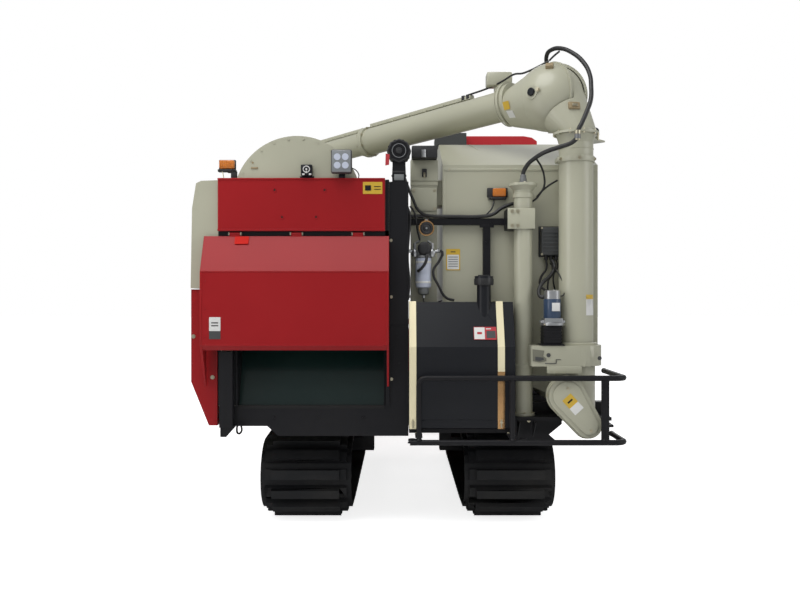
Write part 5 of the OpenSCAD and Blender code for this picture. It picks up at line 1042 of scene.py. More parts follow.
class COMBINE_OT_auger_trim(bpy.types.Operator):
    """Flange bolts, plug, latches, seams, collar and stickers of the unloading auger"""
    bl_idname = "combine.auger_trim"
    bl_label = "Unloading auger trim"

    def execute(self, context):
        way = (on_tube(1) - on_tube(0)).normalized()
        bm = bmesh.new()
        for s, r, n, out in ((0.309, 0.112, 10, -way), (1.595, 0.104, 8, -way), (1.639, 0.104, 8, way)):
            bolts(bm, [on_tube(s, u, v) for u, v in ring(n, r, 180 / n)], out, 0.006)
        for s, r in ((0.335, 0.1385), (1.617, 0.1095)):
            lathe(bm, on_tube(s - 0.004), way, [(r - 0.004, 0), (r, 0.001), (r, 0.007), (r - 0.004, 0.008)], 1, 48)
        keep("tube_fasteners", bm, ["zinc", "beige paint"], "auger")
        pole = slewed(BALL_OUT, 0.0, BALL_Z)
        near = (slewed(0, 1, 0) - slewed(0, 0, 0)).normalized()
        bm = bmesh.new()
        lathe(bm, pole + near * 0.2125, near, [(0.024, -0.004), (0.024, 0.004), (0.02, 0.008), (0.0, 0.009)], 0, 32)
        keep("pivot_plugs", bm, ["tank plastic"], "slewing_pipe")
        bm = bmesh.new()
        spot = pole + Vector((-0.072, -0.112, 0.004)).normalized() * 0.214
        bolts(bm, [spot], spot - pole, 0.01, 0.01)
        out = Vector((-0.038, -0.134, 0.149)).normalized()
        facing(bm, pole + out * 0.212, out, (0.023, 0.012, 0.018), 1)
        keep("bell_latch_high", bm, ["zinc", "tan cast"], "auger")
        bm = bmesh.new()
        spot, out = Vector((0.9575, -2.34, 2.422)), Vector((0.188, -0.945, 0.269)).normalized()
        facing(bm, spot, out, (0.034, 0.01, 0.021), 1)
        facing(bm, spot, out, (0.017, 0.017, 0.008), 0, 0.002)
        keep("bell_latch_low", bm, ["zinc", "tan cast"], "slewing_pipe")
        neck_slope = 0.31
        for name, s, r, low, mat in (("collar_sticker", 0.238, 0.1475, 0.2, "label yellow"),
                                     ("collar_sticker_low", 0.218, 0.1605, 0.55, "label white")):
            out = -Y - Z * low
            out = (out - way * way.dot(out)).normalized()
            along = (way - out * neck_slope).normalized()
            up = (out + way * neck_slope).normalized().cross(along)
            label(name, on_tube(s) + out * r, 0.06, 0.05, along, up, [(mat, 0.0, 1.0)], "auger")
        bm = bmesh.new()
        for u, v in ring(10, 0.126):
            bolts(bm, [slewed(u, v, 2.282)], Z, 0.006, 0.006, 1)
            bolts(bm, [slewed(u, v, 2.268)], -Z, 0.006, 0.006, 1)
        for z in (2.18, 2.222):
            lathe(bm, (PIPE_X, PIPE_Y, z), Z, [(0.1, 0), (0.1022, 0.001), (0.1022, 0.006), (0.1, 0.007)], 0, 48)
        rod(bm, (1.098, -2.33, 2.225), (1.098, -2.33, 2.268), 0.006, 1, 10)
        keep("pipe_seams", bm, ["beige paint", "zinc"], "slewing_pipe")
        bm = bmesh.new()
        for k in range(3):
            a = math.radians(205 + k * 65)
            way = Vector((math.cos(a), math.sin(a), 0))
            bolts(bm, [Vector((PIPE_X, PIPE_Y, 2.122)) + way * 0.108], way, 0.008, 0.01, 1)
        block(bm, (0.87, -2.3, 2.108), (0.89, -2.2, 2.136), 0, 0.003)
        keep("pipe_collar_trim", bm, ["beige paint", "zinc"])
        bm = bmesh.new()
        for k in range(8):
            a = math.radians(26 + k * 5)
            way = Vector((math.cos(a), math.sin(a), 0))
            spot = Vector((PIPE_X, PIPE_Y, 0)) + way.cross(Z) * 0.1008
            plate(bm, rounded(0.0094, 0.094, 0.0003, 1), 0.0008, spot + Z * 1.258, way, Z, 0)
            plate(bm, rounded(0.0094, 0.026, 0.0003, 1), 0.0008, spot + Z * 1.318, way, Z, 1)
        keep("pipe_sticker", bm, ["label white", "label yellow"], "slewing_pipe")
        return {"FINISHED"}


class COMBINE_OT_tank_trim(bpy.types.Operator):
    """Pressed seams, sight glasses, sticker and hatch handle of the grain tank"""
    bl_idname = "combine.tank_trim"
    bl_label = "Grain tank trim"

    def execute(self, context):
        x0, x1, y0, y1 = 0.21, 1.15, -2.1, -0.92
        bm = bmesh.new()
        for x in (x0 + 0.012, x1 - 0.045):
            block(bm, (x - 0.004, y0 - 0.003, 1.04), (x + 0.004, y0, 2.06), 0, 0.001)
        block(bm, (x0 + 0.01, y0 - 0.004, 2.082), (x1 - 0.01, y0, 2.098), 0, 0.002)
        for z in (1.3, 1.62, 1.94):
            block(bm, (x1, y0 + 0.08, z), (x1 + 0.006, y1 - 0.08, z + 0.018), 0, 0.003)
        bolts(bm, [(x1 + 0.001, y, z) for y in (-1.9, -1.5, -1.1) for z in (1.06, 2.02)], X, 0.007, 0.005, 1)
        bolts(bm, [(x, y0, 2.09) for x in (0.25, 0.62, 1.11)], -Y, 0.006, 0.005, 1)
        rod(bm, (0.585, -2.092, 2.104), (0.415, -1.61, 2.327), 0.005, 0, 10)
        keep("tank_seams", bm, ["beige paint", "zinc"])
        label("tank_sticker", (0.2735, y0 - 0.0016, 1.5445), 0.085, 0.129, X, Z, [("label yellow", 0.0, 1.0)])
        bm = bmesh.new()
        plate(bm, rounded(0.072, 0.088, 0.003, 2), 0.0008, (0.2735, y0 - 0.003, 1.53), X, Z, 0)
        for k in range(5):
            plate(bm, rounded(0.058, 0.005, 0.001, 1), 0.0006, (0.2735, y0 - 0.004, 1.56 - k * 0.014), X, Z, 1)
        plate(bm, rounded(0.03, 0.006, 0.0015, 1), 0.0006, (0.2735, y0 - 0.003, 1.5915), X, Z, 2)
        keep("tank_sticker_field", bm, ["label white", "grey plastic", "dull plastic"])
        bm = bmesh.new()
        for z in (1.2, 1.5, 1.8):
            lathe(bm, (x1, -1.75, z), X, [(0.05, 0), (0.05, 0.006), (0.04, 0.009), (0.036, 0.005)], 0, 32)
            lathe(bm, (x1 + 0.0008, -1.75, z), X, [(0.037, 0), (0.037, 0.004), (0.0, 0.006)], 1, 32)
        keep("tank_sight_glasses", bm, ["dull plastic", "clear lens"])
        bm = bmesh.new()
        hx, hy, hz = 0.85, -1.48, node_box("tank_hatch")[1].z
        for dx in (-0.05, 0.05):
            rod(bm, (hx + dx, hy + 0.3, hz - 0.001), (hx + dx, hy + 0.3, hz + 0.014), 0.005, 0, 10)
        rod(bm, (hx - 0.055, hy + 0.3, hz + 0.014), (hx + 0.055, hy + 0.3, hz + 0.014), 0.005, 0, 10)
        for dx in (-0.13, 0.0, 0.13):
            block(bm, (hx + dx - 0.006, hy + 0.1, hz - 0.001), (hx + dx + 0.006, hy + 0.33, hz + 0.004), 0, 0.002)
        keep("hatch_handle", bm, ["beige paint"], "hatch")
        return {"FINISHED"}


class COMBINE_OT_elevator_trim(bpy.types.Operator):
    """Covers and latch of the grain elevator, the controller box and the machine's harness"""
    bl_idname = "combine.elevator_trim"
    bl_label = "Elevator and harness"

    def execute(self, context):
        x0, x1, y = 0.019, 0.178, -2.08
        bm = bmesh.new()
        block(bm, (x0 - 0.004, y - 0.006, 1.995), (x1 + 0.004, y, 2.022), 0, 0.002)
        block(bm, (x0 - 0.004, y - 0.012, 2.022), (x1 + 0.004, y - 0.0005, 2.15), 0, 0.005)
        block(bm, (x0 + 0.004, y - 0.006, 1.84), (x1 - 0.004, y, 1.98), 0, 0.003)
        for z in (1.855, 1.965):
            bolts(bm, [(x, y - 0.006, z) for x in (x0 + 0.016, x1 - 0.016)], -Y, 0.007, 0.005, 1)
        block(bm, (0.022, y - 0.09, 2.1505), (0.176, y + 0.02, 2.224), 3, 0.006)
        rod(bm, (0.094, y - 0.092, 2.152), (0.094, y - 0.092, 2.197), 0.015, 2, 24)
        block(bm, (0.085, y - 0.024, 2.045), (0.115, y - 0.012, 2.095), 3, 0.003)
        rod(bm, (0.1, y - 0.026, 2.07), (0.1, y - 0.045, 2.04), 0.006, 1, 10)
        keep("elevator_trim", bm, ["beige paint", "zinc", "motor silver", "dull plastic"])
        bm = bmesh.new()
        block(bm, (0.79, -2.115, 1.56), (0.93, -2.1005, 1.745), 1, 0.004)
        block(bm, (0.797, -2.165, 1.568), (0.923, -2.114, 1.737), 0, 0.01)
        for k in range(6):
            block(bm, (0.808, -2.1685, 1.59 + k * 0.022), (0.912, -2.163, 1.6 + k * 0.022), 0, 0.002)
        for px in (0.83, 0.86, 0.89):
            rod(bm, (px, -2.14, 1.568), (px, -2.14, 1.54), 0.011, 1, 14)
        bolts(bm, [(px, -2.165, z) for z in (1.574, 1.731) for px in (0.801, 0.919)], -Y, 0.005, 0.004, 2)
        keep("controller_box", bm, ["dark case", "dull plastic", "zinc"])
        wires({
            "controller_lead_a": (0.007, [
                (0.83, -2.14, 1.545), (0.832, -2.142, 1.49), (0.8, -2.15, 1.44), (0.79, -2.16, 1.39),
                (0.84, -2.19, 1.34), (0.86, -2.21, 1.28)]),
            "controller_lead_b": (0.006, [
                (0.86, -2.14, 1.545), (0.868, -2.145, 1.47), (0.84, -2.155, 1.41), (0.845, -2.15, 1.33),
                (0.9, -2.13, 1.22)]),
            "controller_lead_c": (0.005, [
                (0.89, -2.14, 1.545), (0.9, -2.142, 1.5), (0.875, -2.145, 1.45), (0.89, -2.13, 1.35),
                (0.95, -2.115, 1.25)]),
            "tank_harness": (0.006, [
                (0.748, -2.285, 2.125), (0.788, -2.23, 2.083), (0.81, -2.2, 2.024), (0.81, -2.19, 1.977),
                (0.783, -2.19, 1.929), (0.759, -2.19, 1.9), (0.736, -2.19, 1.885)]),
            "tank_harness_low": (0.006, [
                (0.892, -2.17, 2.015), (0.845, -2.18, 1.987), (0.803, -2.185, 1.954), (0.767, -2.19, 1.913)]),
            "filter_harness_a": (0.009, [
                (-0.03, -2.2, 2.05), (0.0, -2.19, 1.97), (0.03, -2.175, 1.9), (0.06, -2.165, 1.84),
                (0.1, -2.158, 1.812), (0.16, -2.152, 1.804)]),
            "filter_harness_b": (0.009, [
                (-0.01, -2.21, 1.98), (-0.012, -2.215, 1.88), (0.01, -2.21, 1.8), (0.004, -2.205, 1.69),
                (-0.004, -2.2, 1.55), (0.006, -2.2, 1.4), (-0.002, -2.2, 1.3)]),
            "filter_harness_c": (0.011, [
                (-0.04, -2.15, 1.802), (0.1, -2.15, 1.803), (0.28, -2.15, 1.801), (0.44, -2.15, 1.802),
                (0.51, -2.15, 1.815), (0.56, -2.148, 1.85), (0.61, -2.145, 1.872), (0.64, -2.142, 1.88)]),
            "lamp_lead": (0.005, [
                (0.47, -2.15, 1.812), (0.5, -2.148, 1.845), (0.514, -2.14, 1.88), (0.518, -2.128, 1.905)]),
            "filter_harness_d": (0.006, [
                (0.012, -2.18, 1.86), (0.04, -2.17, 1.82), (0.05, -2.165, 1.76), (0.06, -2.166, 1.7),
                (0.072, -2.17, 1.655)]),
        })
        return {"FINISHED"}


class COMBINE_OT_intake_trim(bpy.types.Operator):
    """Screened head of the air intake, its clamp and its ribbon"""
    bl_idname = "combine.intake_trim"
    bl_label = "Air intake"

    def execute(self, context):
        x, z, y = -0.054, 2.165, -2.331
        bm = bmesh.new()
        lathe(bm, (x, y + 0.01, z), -Y, [(0.07, -0.08), (0.071, 0.0), (0.068, 0.01), (0.062, 0.012), (0.056, 0.004),
                                         (0.05, -0.01), (0.0, -0.012)], 0, 8)
        lathe(bm, (x, y - 0.001, z), -Y, [(0.037, -0.012), (0.038, 0.002), (0.041, 0.002), (0.042, -0.012)], 1, 40)
        lathe(bm, (x, y - 0.001, z), -Y, [(0.02, -0.001), (0.018, 0.006), (0.0, 0.008)], 0, 24)
        for u, v in ring(12):
            rod(bm, (x + u * 0.016, y + 0.006, z + v * 0.016),
                (x + u * 0.054, y + 0.006, z + v * 0.054), 0.0028, 0, 8)
        lathe(bm, (x, -2.27, 2.02), Z, [(0.04, -0.035), (0.0405, 0.0), (0.044, 0.003), (0.044, 0.012),
                                        (0.0405, 0.015), (0.039, 0.06)], 0, 32)
        block(bm, (-0.09, -2.316, 2.04), (-0.018, -2.226, 2.05), 0, 0.003)
        block(bm, (-0.082, -2.318, 1.995), (-0.026, -2.312, 2.03), 2, 0.002)
        keep("intake_head", bm, ["dull plastic", "motor silver", "grey plastic"])
        bm = bmesh.new()
        plate(bm, [(-0.012, -0.034), (0.01, -0.03), (0.013, 0.03), (-0.01, 0.035)], 0.002,
              (-0.121, -2.345, 2.11), X, Z, 0)
        keep("intake_ribbon", bm, ["label red"])
        return {"FINISHED"}


class COMBINE_OT_guard_trim(bpy.types.Operator):
    """Weld beads, foot bolts and end caps of the guard rail, and the gussets of its shelf"""
    bl_idname = "combine.guard_trim"
    bl_label = "Guard rail trim"

    def execute(self, context):
        y, z0, z1 = -2.484, 0.5, 0.861
        bm = bmesh.new()
        for x, z, way in ((0.582, z0 + 0.014, Z), (0.582, z1 - 0.014, -Z), (1.1, z0 + 0.014, Z),
                          (1.1, z1 - 0.014, -Z), (0.058, z0 + 0.014, Z)):
            lathe(bm, (x, y, z), way, [(0.0195, 0.0), (0.0175, 0.005), (0.015, 0.008)], 0, 24)
        bolts(bm, [(x + dx, -2.395, 0.5395) for x in (0.058, 0.582) for dx in (-0.012, 0.012)], Z, 0.006, 0.005, 1)
        for z, far in ((z0, -2.16), (z1, -1.97)):
            lathe(bm, (1.22, far, z), Y, [(0.016, -0.003), (0.0172, 0.0), (0.0172, 0.006),
                                          (0.012, 0.01), (0.0, 0.011)], 2, 24)
        block(bm, (-0.005, -2.49, z0 - 0.004), (0.012, -2.478, z0 + 0.004), 0, 0.002)
        keep("guard_rail_welds", bm, ["black paint", "zinc", "dull plastic"])
        bm = bmesh.new()
        for x in (0.64, 0.73):
            plate(bm, [(0, 0), (0.11, 0.0), (0.0, -0.1)], 0.006, (x, -2.3, 0.5995), -Y, Z, 0)
        bolts(bm, [(x, -2.314, 0.6) for x in (0.7, 0.95, 1.14)], -Y, mat=1)
        keep("shelf_gussets", bm, ["black paint", "zinc"])
        return {"FINISHED"}


class COMBINE_OT_tube_leads(bpy.types.Operator):
    """Flat conduit and switch box on the unloading tube, and the lead over the elbow"""
    bl_idname = "combine.tube_leads"
    bl_label = "Tube leads"

    def execute(self, context):
        across = (on_tube(0, 1) - on_tube(0)).normalized()
        way = (on_tube(1) - on_tube(0)).normalized()
        turn = Matrix((way, across, way.cross(across))).transposed().to_4x4()
        bm = bmesh.new()
        for s0, s1, z in ((0.62, 1.58, 0.112), (1.655, 2.5, 0.098)):
            mid = on_tube((s0 + s1) / 2, 0.0, z)
            about(bm, mid, ((s1 - s0) / 2, 0.022, 0.013), turn=turn)
            for k in range(6):
                spot = on_tube(s0 + (s1 - s0) * (k + 0.5) / 6, 0.0, z - 0.01)
                about(bm, spot, (0.01, 0.03, 0.006), 0, 0.001, turn)
        keep("tube_conduit", bm, ["beige paint"], "auger")
        wire("tube_lead", [on_tube(0.66, 0.01, 0.13), on_tube(0.45, 0.02, 0.136), on_tube(0.335, 0.03, 0.15),
                           on_tube(0.25, 0.04, 0.165), on_tube(0.14, 0.07, 0.145), (0.85, -2.12, 2.742)],
             0.006, "hose rubber", "auger")
        wire("tube_lead_top", [(0.852, -2.121, 2.744), (0.878, -2.14, 2.768), (0.908, -2.16, 2.79)], 0.006,
             "hose rubber", "slewing_pipe")
        bm = bmesh.new()
        spot = on_tube(0.41, -0.02, 0.178)
        block(bm, spot - Vector((0.082, 0.05, 0.045)), spot + Vector((0.08, 0.05, 0.045)), 0, 0.012)
        block(bm, spot - Vector((0.03, 0.03, 0.075)), spot + Vector((0.03, 0.03, -0.04)), 0, 0.003)
        keep("tube_switch_box", bm, ["beige paint"], "auger")
        bm = bmesh.new()
        for s in (0.64, 0.68):
            about(bm, on_tube(s, 0.0, 0.118), (0.012, 0.026, 0.014), 0, 0.002, turn)
        keep("tube_clips", bm, ["dull plastic"], "auger")
        return {"FINISHED"}


# A cushion's shape, as shares of its half sizes
EDGE_DRAW, CROWN, SEAM_DEPTH, SEAM_WIDTH = 0.035, 0.28, 0.16, 0.045


def pad(name, w, l, t, place, channels=()):
    """A stuffed cushion, crowned on top and flat where it rests, with sewn channels."""
    bm = bmesh.new()
    bmesh.ops.create_cube(bm, size=2.0)
    bmesh.ops.subdivide_edges(bm, edges=bm.edges, cuts=27, use_grid_fill=True)
    for v in bm.verts:
        u, s, h = v.co
        edge = max(abs(u), abs(s))
        draw = 1.0 - EDGE_DRAW * (1.0 - (s if abs(u) > abs(s) else u) ** 2)
        if edge > 0.9:
            draw *= 1.0 - 0.16 * abs(h) ** 3
        crown = 1.0 + CROWN * (1.0 - u * u) * (1.0 - s * s) - 0.3 * max(0.0, edge - 0.72) ** 1.5
        sewn = sum(SEAM_DEPTH * math.exp(-((s - c) / SEAM_WIDTH) ** 2) for c in channels) * (1.0 - u ** 8)
        puff = sum(0.05 * math.cos(math.pi * (s - c) * 2) for c in channels[:1])
        top = crown - sewn + puff * (1 - u * u)
        v.co = Vector((u * w / 2 * draw, s * l / 2 * draw, h * t / 2 * (top if h > 0 else 1.0)))
    bmesh.ops.transform(bm, matrix=place, verts=bm.verts)
    keep(name, bm, ["seat vinyl"], smooth=60)


class COMBINE_OT_seat(bpy.types.Operator):
    """Operator's seat with its pan, cushions and arm rests"""
    bl_idname = "combine.seat"
    bl_label = "Seat"

    def execute(self, context):
        x = 0.76
        bm = bmesh.new()
        block(bm, (x - 0.225, -0.64, 1.2905), (x + 0.225, -0.185, 1.312), 0, 0.006)
        for sx in (-0.19, 0.19):
            block(bm, (x + sx - 0.018, -0.635, 1.2902), (x + sx + 0.018, -0.18, 1.3), 1, 0.002)
            for sy in (-0.6, -0.22):
                bolts(bm, [(x + sx, sy, 1.3)], Z, 0.008, 0.008, 1)
        lean = math.atan2(90, 390)
        back = Matrix.Translation((x, -0.706, 1.585)) @ Matrix.Rotation(lean, 4, "X")
        made = block(bm, (-0.225, -0.016, -0.215), (0.225, 0.01, 0.2), 0, 0.01)
        bmesh.ops.transform(bm, matrix=back, verts=list(made))
        for sx in (-0.2625, 0.2605):
            block(bm, (x + sx - 0.012, -0.64, 1.291), (x + sx + 0.012, -0.606, 1.472), 0, 0.004)
            rod(bm, (x + sx - 0.02, -0.622, 1.455), (x + sx + 0.02, -0.622, 1.455), 0.014, 1, 16)
        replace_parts(keep("seat_frame", bm, ["black paint", "zinc"]), "seat")
        turn = Matrix.Rotation(math.radians(3), 4, "X")
        pad("seat_cushion", 0.462, 0.425, 0.088, Matrix.Translation((x, -0.385, 1.356)) @ turn, (-0.42, 0.0, 0.42))
        turn = Matrix.Rotation(math.pi / 2 + lean, 4, "X") @ Matrix.Rotation(math.pi, 4, "Z")
        pad("seat_back", 0.455, 0.405, 0.085, Matrix.Translation((x, -0.655, 1.598)) @ turn, (-0.4, 0.0, 0.4))
        for name, sx in (("arm_rest_left", -0.2605), ("arm_rest_right", 0.2605)):
            pad(name, 0.046, 0.296, 0.036, Matrix.Translation((x + sx, -0.47, 1.49)))
        return {"FINISHED"}


class COMBINE_OT_cabin_trim(bpy.types.Operator):
    """Gauges, switches, boots and grips of the operator's station"""
    bl_idname = "combine.cabin_trim"
    bl_label = "Operator's station trim"

    def execute(self, context):
        up = Vector((0, 0.24, 0.1)).normalized()
        out = X.cross(up)

        def top(x, t, h=0.0):
            return Vector((x, 0.49, 1.27)) + up * t + out * h

        bm = bmesh.new()
        plate(bm, rounded(0.3, 0.15, 0.02), 0.004, top(0.655, 0.14, 0.0005), X, up, 0, 0.002)
        bezel = [(0.052, 0), (0.054, 0.006), (0.048, 0.009), (0.044, 0.004), (0, 0.004)]
        lathe(bm, top(0.655, 0.145, 0.004), out, bezel, 0, 40)
        lathe(bm, top(0.655, 0.145, 0.0085), out, [(0.043, 0), (0.04, 0.001), (0, 0.0012)], 1, 40)
        bezel = [(0.03, 0), (0.032, 0.005), (0.028, 0.007), (0.025, 0.003), (0, 0.003)]
        for dx in (-0.095, 0.095):
            lathe(bm, top(0.655 + dx, 0.15, 0.004), out, bezel, 0, 32)
            lathe(bm, top(0.655 + dx, 0.15, 0.0075), out, [(0.0245, 0), (0, 0.001)], 1, 32)
        for k in range(6):
            spot = top(0.555 + k * 0.036, 0.04)
            block(bm, spot - Vector((0.012, 0.014, 0.002)), spot + Vector((0.012, 0.014, 0.01)), 2, 0.002)
        lathe(bm, top(0.8, 0.06, 0.0), out, [(0.018, 0), (0.018, 0.008), (0.012, 0.01), (0.0, 0.01)], 3, 24)
        spot = top(0.8, 0.06, 0.014)
        block(bm, spot - Vector((0.003, 0.01, 0.006)), spot + Vector((0.003, 0.01, 0.01)), 3, 0.001)
        keep("gauge_panel", bm, ["dull plastic", "clear lens", "tank plastic", "zinc"])
        bm = bmesh.new()
        boot = [(0.038, 0), (0.04, 0.006), (0.033, 0.01), (0.034, 0.018), (0.026, 0.022), (0.027, 0.03),
                (0.019, 0.034), (0.02, 0.042), (0.0125, 0.048), (0.0, 0.048)]
        grip = [(0.01, 0), (0.014, 0.006), (0.0165, 0.024), (0.0205, 0.036), (0.021, 0.046), (0.0205, 0.054),
                (0.012, 0.062), (0.0, 0.063)]
        for x, y, z in ((0.265, 0.04, 1.3545), (0.265, 0.2, 1.3325), (0.335, 0.12, 1.344)):
            a, b = Vector((x, y, z)), Vector((x, y + 0.03, 1.5))
            way = b - a
            lathe(bm, a - Z * 0.006, way, boot, 0, 28)
            lathe(bm, b - way.normalized() * 0.03, way, grip, 1, 28)
        way = Vector((0, -0.03, 0.17))
        boot = [(0.048, 0), (0.05, 0.008), (0.04, 0.013), (0.041, 0.022), (0.03, 0.028), (0.031, 0.036),
                (0.018, 0.044), (0.0, 0.044)]
        grip = [(0.013, 0), (0.019, 0.01), (0.022, 0.03), (0.0265, 0.046), (0.027, 0.056), (0.022, 0.07),
                (0.01, 0.076), (0.0, 0.0765)]
        lathe(bm, (0.84, 0.548, 1.29), way, boot, 0, 32)
        lathe(bm, (0.84, 0.528, 1.4), way, grip, 1, 32)
        keep("lever_boots", bm, ["rubber", "dull plastic"])
        bm = bmesh.new()
        for k in range(4):
            block(bm, (0.228, 0.29 + k * 0.034, 1.3205 - k * 0.0046),
                  (0.262, 0.31 + k * 0.034, 1.33 - k * 0.0046), 0, 0.002)
        block(bm, (0.29, 0.29, 1.3195), (0.372, 0.41, 1.3215), 0, 0.001)
        block(bm, (0.214, -0.08, 0.96), (0.2146, 0.4, 1.28), 0, 0.0002)
        bolts(bm, [(0.396, y, z) for y in (-0.07, 0.39) for z in (0.97, 1.26)], X, 0.005, 0.004, 1)
        bolts(bm, [(x, 0.5605, z) for x in (0.45, 0.86) for z in (0.98, 1.16)], -Y, 0.005, 0.004, 1)
        keep("console_trim", bm, ["dull plastic", "zinc"])
        return {"FINISHED"}


class COMBINE_OT_floor_trim(bpy.types.Operator):
    """Tread of the floor, grip studs of the steps, and the canopy's lining, ribs and feet"""
    bl_idname = "combine.floor_trim"
    bl_label = "Floor and steps"

    def execute(self, context):
        bm = bmesh.new()
        for i in range(17):
            for k in range(13):
                x, y = 0.425 + i * 0.041, -0.085 + k * 0.048
                turn = Matrix.Rotation(math.radians(45 if (i + k) % 2 else -45), 4, "Z")
                block(bm, (x - 0.014, y - 0.0035, 0.9394), (x + 0.014, y + 0.0035, 0.9418), 0, 0.0, turn)
        keep("floor_tread", bm, ["black paint"])
        bm = bmesh.new()
        stud = [(0.013, 0), (0.012, 0.003), (0.009, 0.004), (0.008, 0.0008)]
        for z in (0.45, 0.71):
            for i in range(7):
                for k in range(2):
                    lathe(bm, (1.018 + k * 0.07, 0.185 + i * 0.038, z - 0.0005), Z, stud, 0, 14)
        keep("step_grip", bm, ["black paint"])
        bm = bmesh.new()
        block(bm, (0.245, -0.82, 2.444), (0.945, 0.49, 2.4546), 0, 0.003)
        for x in (0.3, 0.595, 0.89):
            for y in (-0.76, -0.16, 0.43):
                rod(bm, (x, y, 2.444), (x, y, 2.4415), 0.01, 1, 14)
        keep("canopy_lining", bm, ["grey plastic", "dull plastic"])
        bm = bmesh.new()
        for x in (0.395, 0.595, 0.795):
            block(bm, (x - 0.022, -0.86, 2.5235), (x + 0.022, 0.515, 2.5285), 0, 0.002)
        keep("canopy_ribs", bm, ["canopy red"])
        bm = bmesh.new()
        for x in (0.253, 0.937):
            for y, z in ((-0.852, 1.3), (0.518, 0.952)):
                block(bm, (x - 0.034, y - 0.03, z - 0.0085), (x + 0.034, y + 0.03, z - 0.0005), 0, 0.001)
                bolts(bm, [(x + dx, y, z - 0.001) for dx in (-0.027, 0.027)], Z, 0.006, 0.006, 1)
        keep("post_feet", bm, ["black paint", "zinc"])
        return {"FINISHED"}


class COMBINE_OT_knife_trim(bpy.types.Operator):
    """Knife sections and their rivets between the guards"""
    bl_idname = "combine.knife_trim"
    bl_label = "Knife sections"

    def execute(self, context):
        left, width, count = -1.2, 2.4, 31
        pitch = width / count
        bm = bmesh.new()
        for k in range(count - 1):
            x = left + (k + 1) * pitch
            plate(bm, [(-pitch * 0.46, 0.0), (pitch * 0.46, 0.0), (pitch * 0.1, 0.066), (-pitch * 0.1, 0.066)],
                  -0.0025, (x, 1.934, 0.1565), X, Y, 0)
            for dx in (-0.014, 0.014):
                rod(bm, (x + dx, 1.922, 0.156), (x + dx, 1.922, 0.161), 0.0045, 1, 10)
        bolts(bm, [(left + (k + 0.5) * pitch, 1.912, 0.156) for k in range(count)], Z, 0.007, 0.007, 1)
        for x in (-1.0, -0.5, 0.0, 0.5, 1.0):
            block(bm, (x + 0.02, 1.903, 0.1562), (x + 0.052, 1.948, 0.164), 1, 0.002)
        keep("knife_sections", bm, ["bare steel", "zinc"], "header")
        return {"FINISHED"}


class COMBINE_OT_reel_trim(bpy.types.Operator):
    """Tine coils, bat bearings and shaft bearings of the reel"""
    bl_idname = "combine.reel_trim"
    bl_label = "Reel trim"

    def execute(self, context):
        cy, cz, r, end, tines = 2.06, 0.96, 0.38, 1.126, 16
        spiders = (-end, 0.0, end)
        collar = [(0.026, 0), (0.026, 0.006), (0.02, 0.009), (0.0165, 0.009)]
        bm = bmesh.new()
        for u, v in ring(5, r, 90):
            y, z = cy + u, cz + v
            for i in range(tines):
                x = (i + 0.5 - tines / 2) * 2 * end / tines
                for n in range(3):
                    lathe(bm, (x - 0.016 + n * 0.0075, y, z), X, [(0.0155, 0),
                                                                  (0.0185, 0.0035), (0.0155, 0.007)], 0, 18)
                block(bm, (x + 0.004, y - 0.006, z - 0.028), (x + 0.012, y + 0.006, z + 0.019), 1, 0.001)
            for x in spiders:
                for s in (-1, 1):
                    lathe(bm, (x + s * 0.0055, y, z), X * s, collar, 2, 24)
        for x in spiders:
            for s in (-1, 1):
                bolts(bm, [(x + s * 0.0053, cy + u, cz + v) for u, v in ring(5, 0.054, 54)], X * s, 0.008, 0.008, 1)
        keep("tine_coils", bm, ["bare steel", "zinc", "dull plastic"], "reel_spin")
        bm = bmesh.new()
        for s in (-1, 1):
            lathe(bm, (s * 1.2165, cy, cz), X * s, [(0.04, -0.0005), (0.04, 0.006),
                                                    (0.026, 0.01), (0.0, 0.01)], 0, 32)
            bolts(bm, [(s * 1.2163, cy + u, cz + v) for u, v in ring(4, 0.04032, 45)], X * s, 0.006, 0.007, 1)
        keep("reel_bearings", bm, ["cast metal", "zinc"], "reel_lift")
        return {"FINISHED"}


class COMBINE_OT_header_trim(bpy.types.Operator):
    """Bolts and bearing caps of the header and its feeder house"""
    bl_idname = "combine.header_trim"
    bl_label = "Header trim"

    def execute(self, context):
        bm = bmesh.new()
        spots = ((1.22, 0.92), (1.22, 0.6), (1.22, 0.3), (1.42, 0.21), (1.7, 0.18), (1.42, 0.66), (1.66, 0.5))
        for s in (-1, 1):
            x = s * 1.2702
            bolts(bm, [(x, y, z) for y, z in spots], X * s, 0.009, 0.007, 1)
            lathe(bm, (x, 1.412, 0.455), X * s, [(0.06, -0.001), (0.06, 0.008), (0.034, 0.014), (0.0, 0.014)], 1, 32)
            bolts(bm, [(x + s * 0.007, 1.412 + u, 0.455 + v) for u, v in ring(4, 0.048, 45)], X * s, 0.006, 0.006, 2)
        for k in range(9):
            x = -1.12 + k * 0.28
            if not -0.96 < x < -0.3:
                bolts(bm, [(x, 1.0955, 0.99)], -Y, 0.008, 0.006, 2)
        keep("header_fasteners", bm, ["red paint", "cast metal", "zinc"], "header")
        low, high = node_box("feeder")
        bm = bmesh.new()
        for s, x in ((-1, low.x), (1, high.x)):
            bolts(bm, [(x - s * 0.026, 0.29 + 0.83 * t, 1.3 - 0.74 * t) for t in (0.12, 0.37, 0.62, 0.87)], X * s)
        keep("feeder_fasteners", bm, ["zinc"], "header")
        return {"FINISHED"}


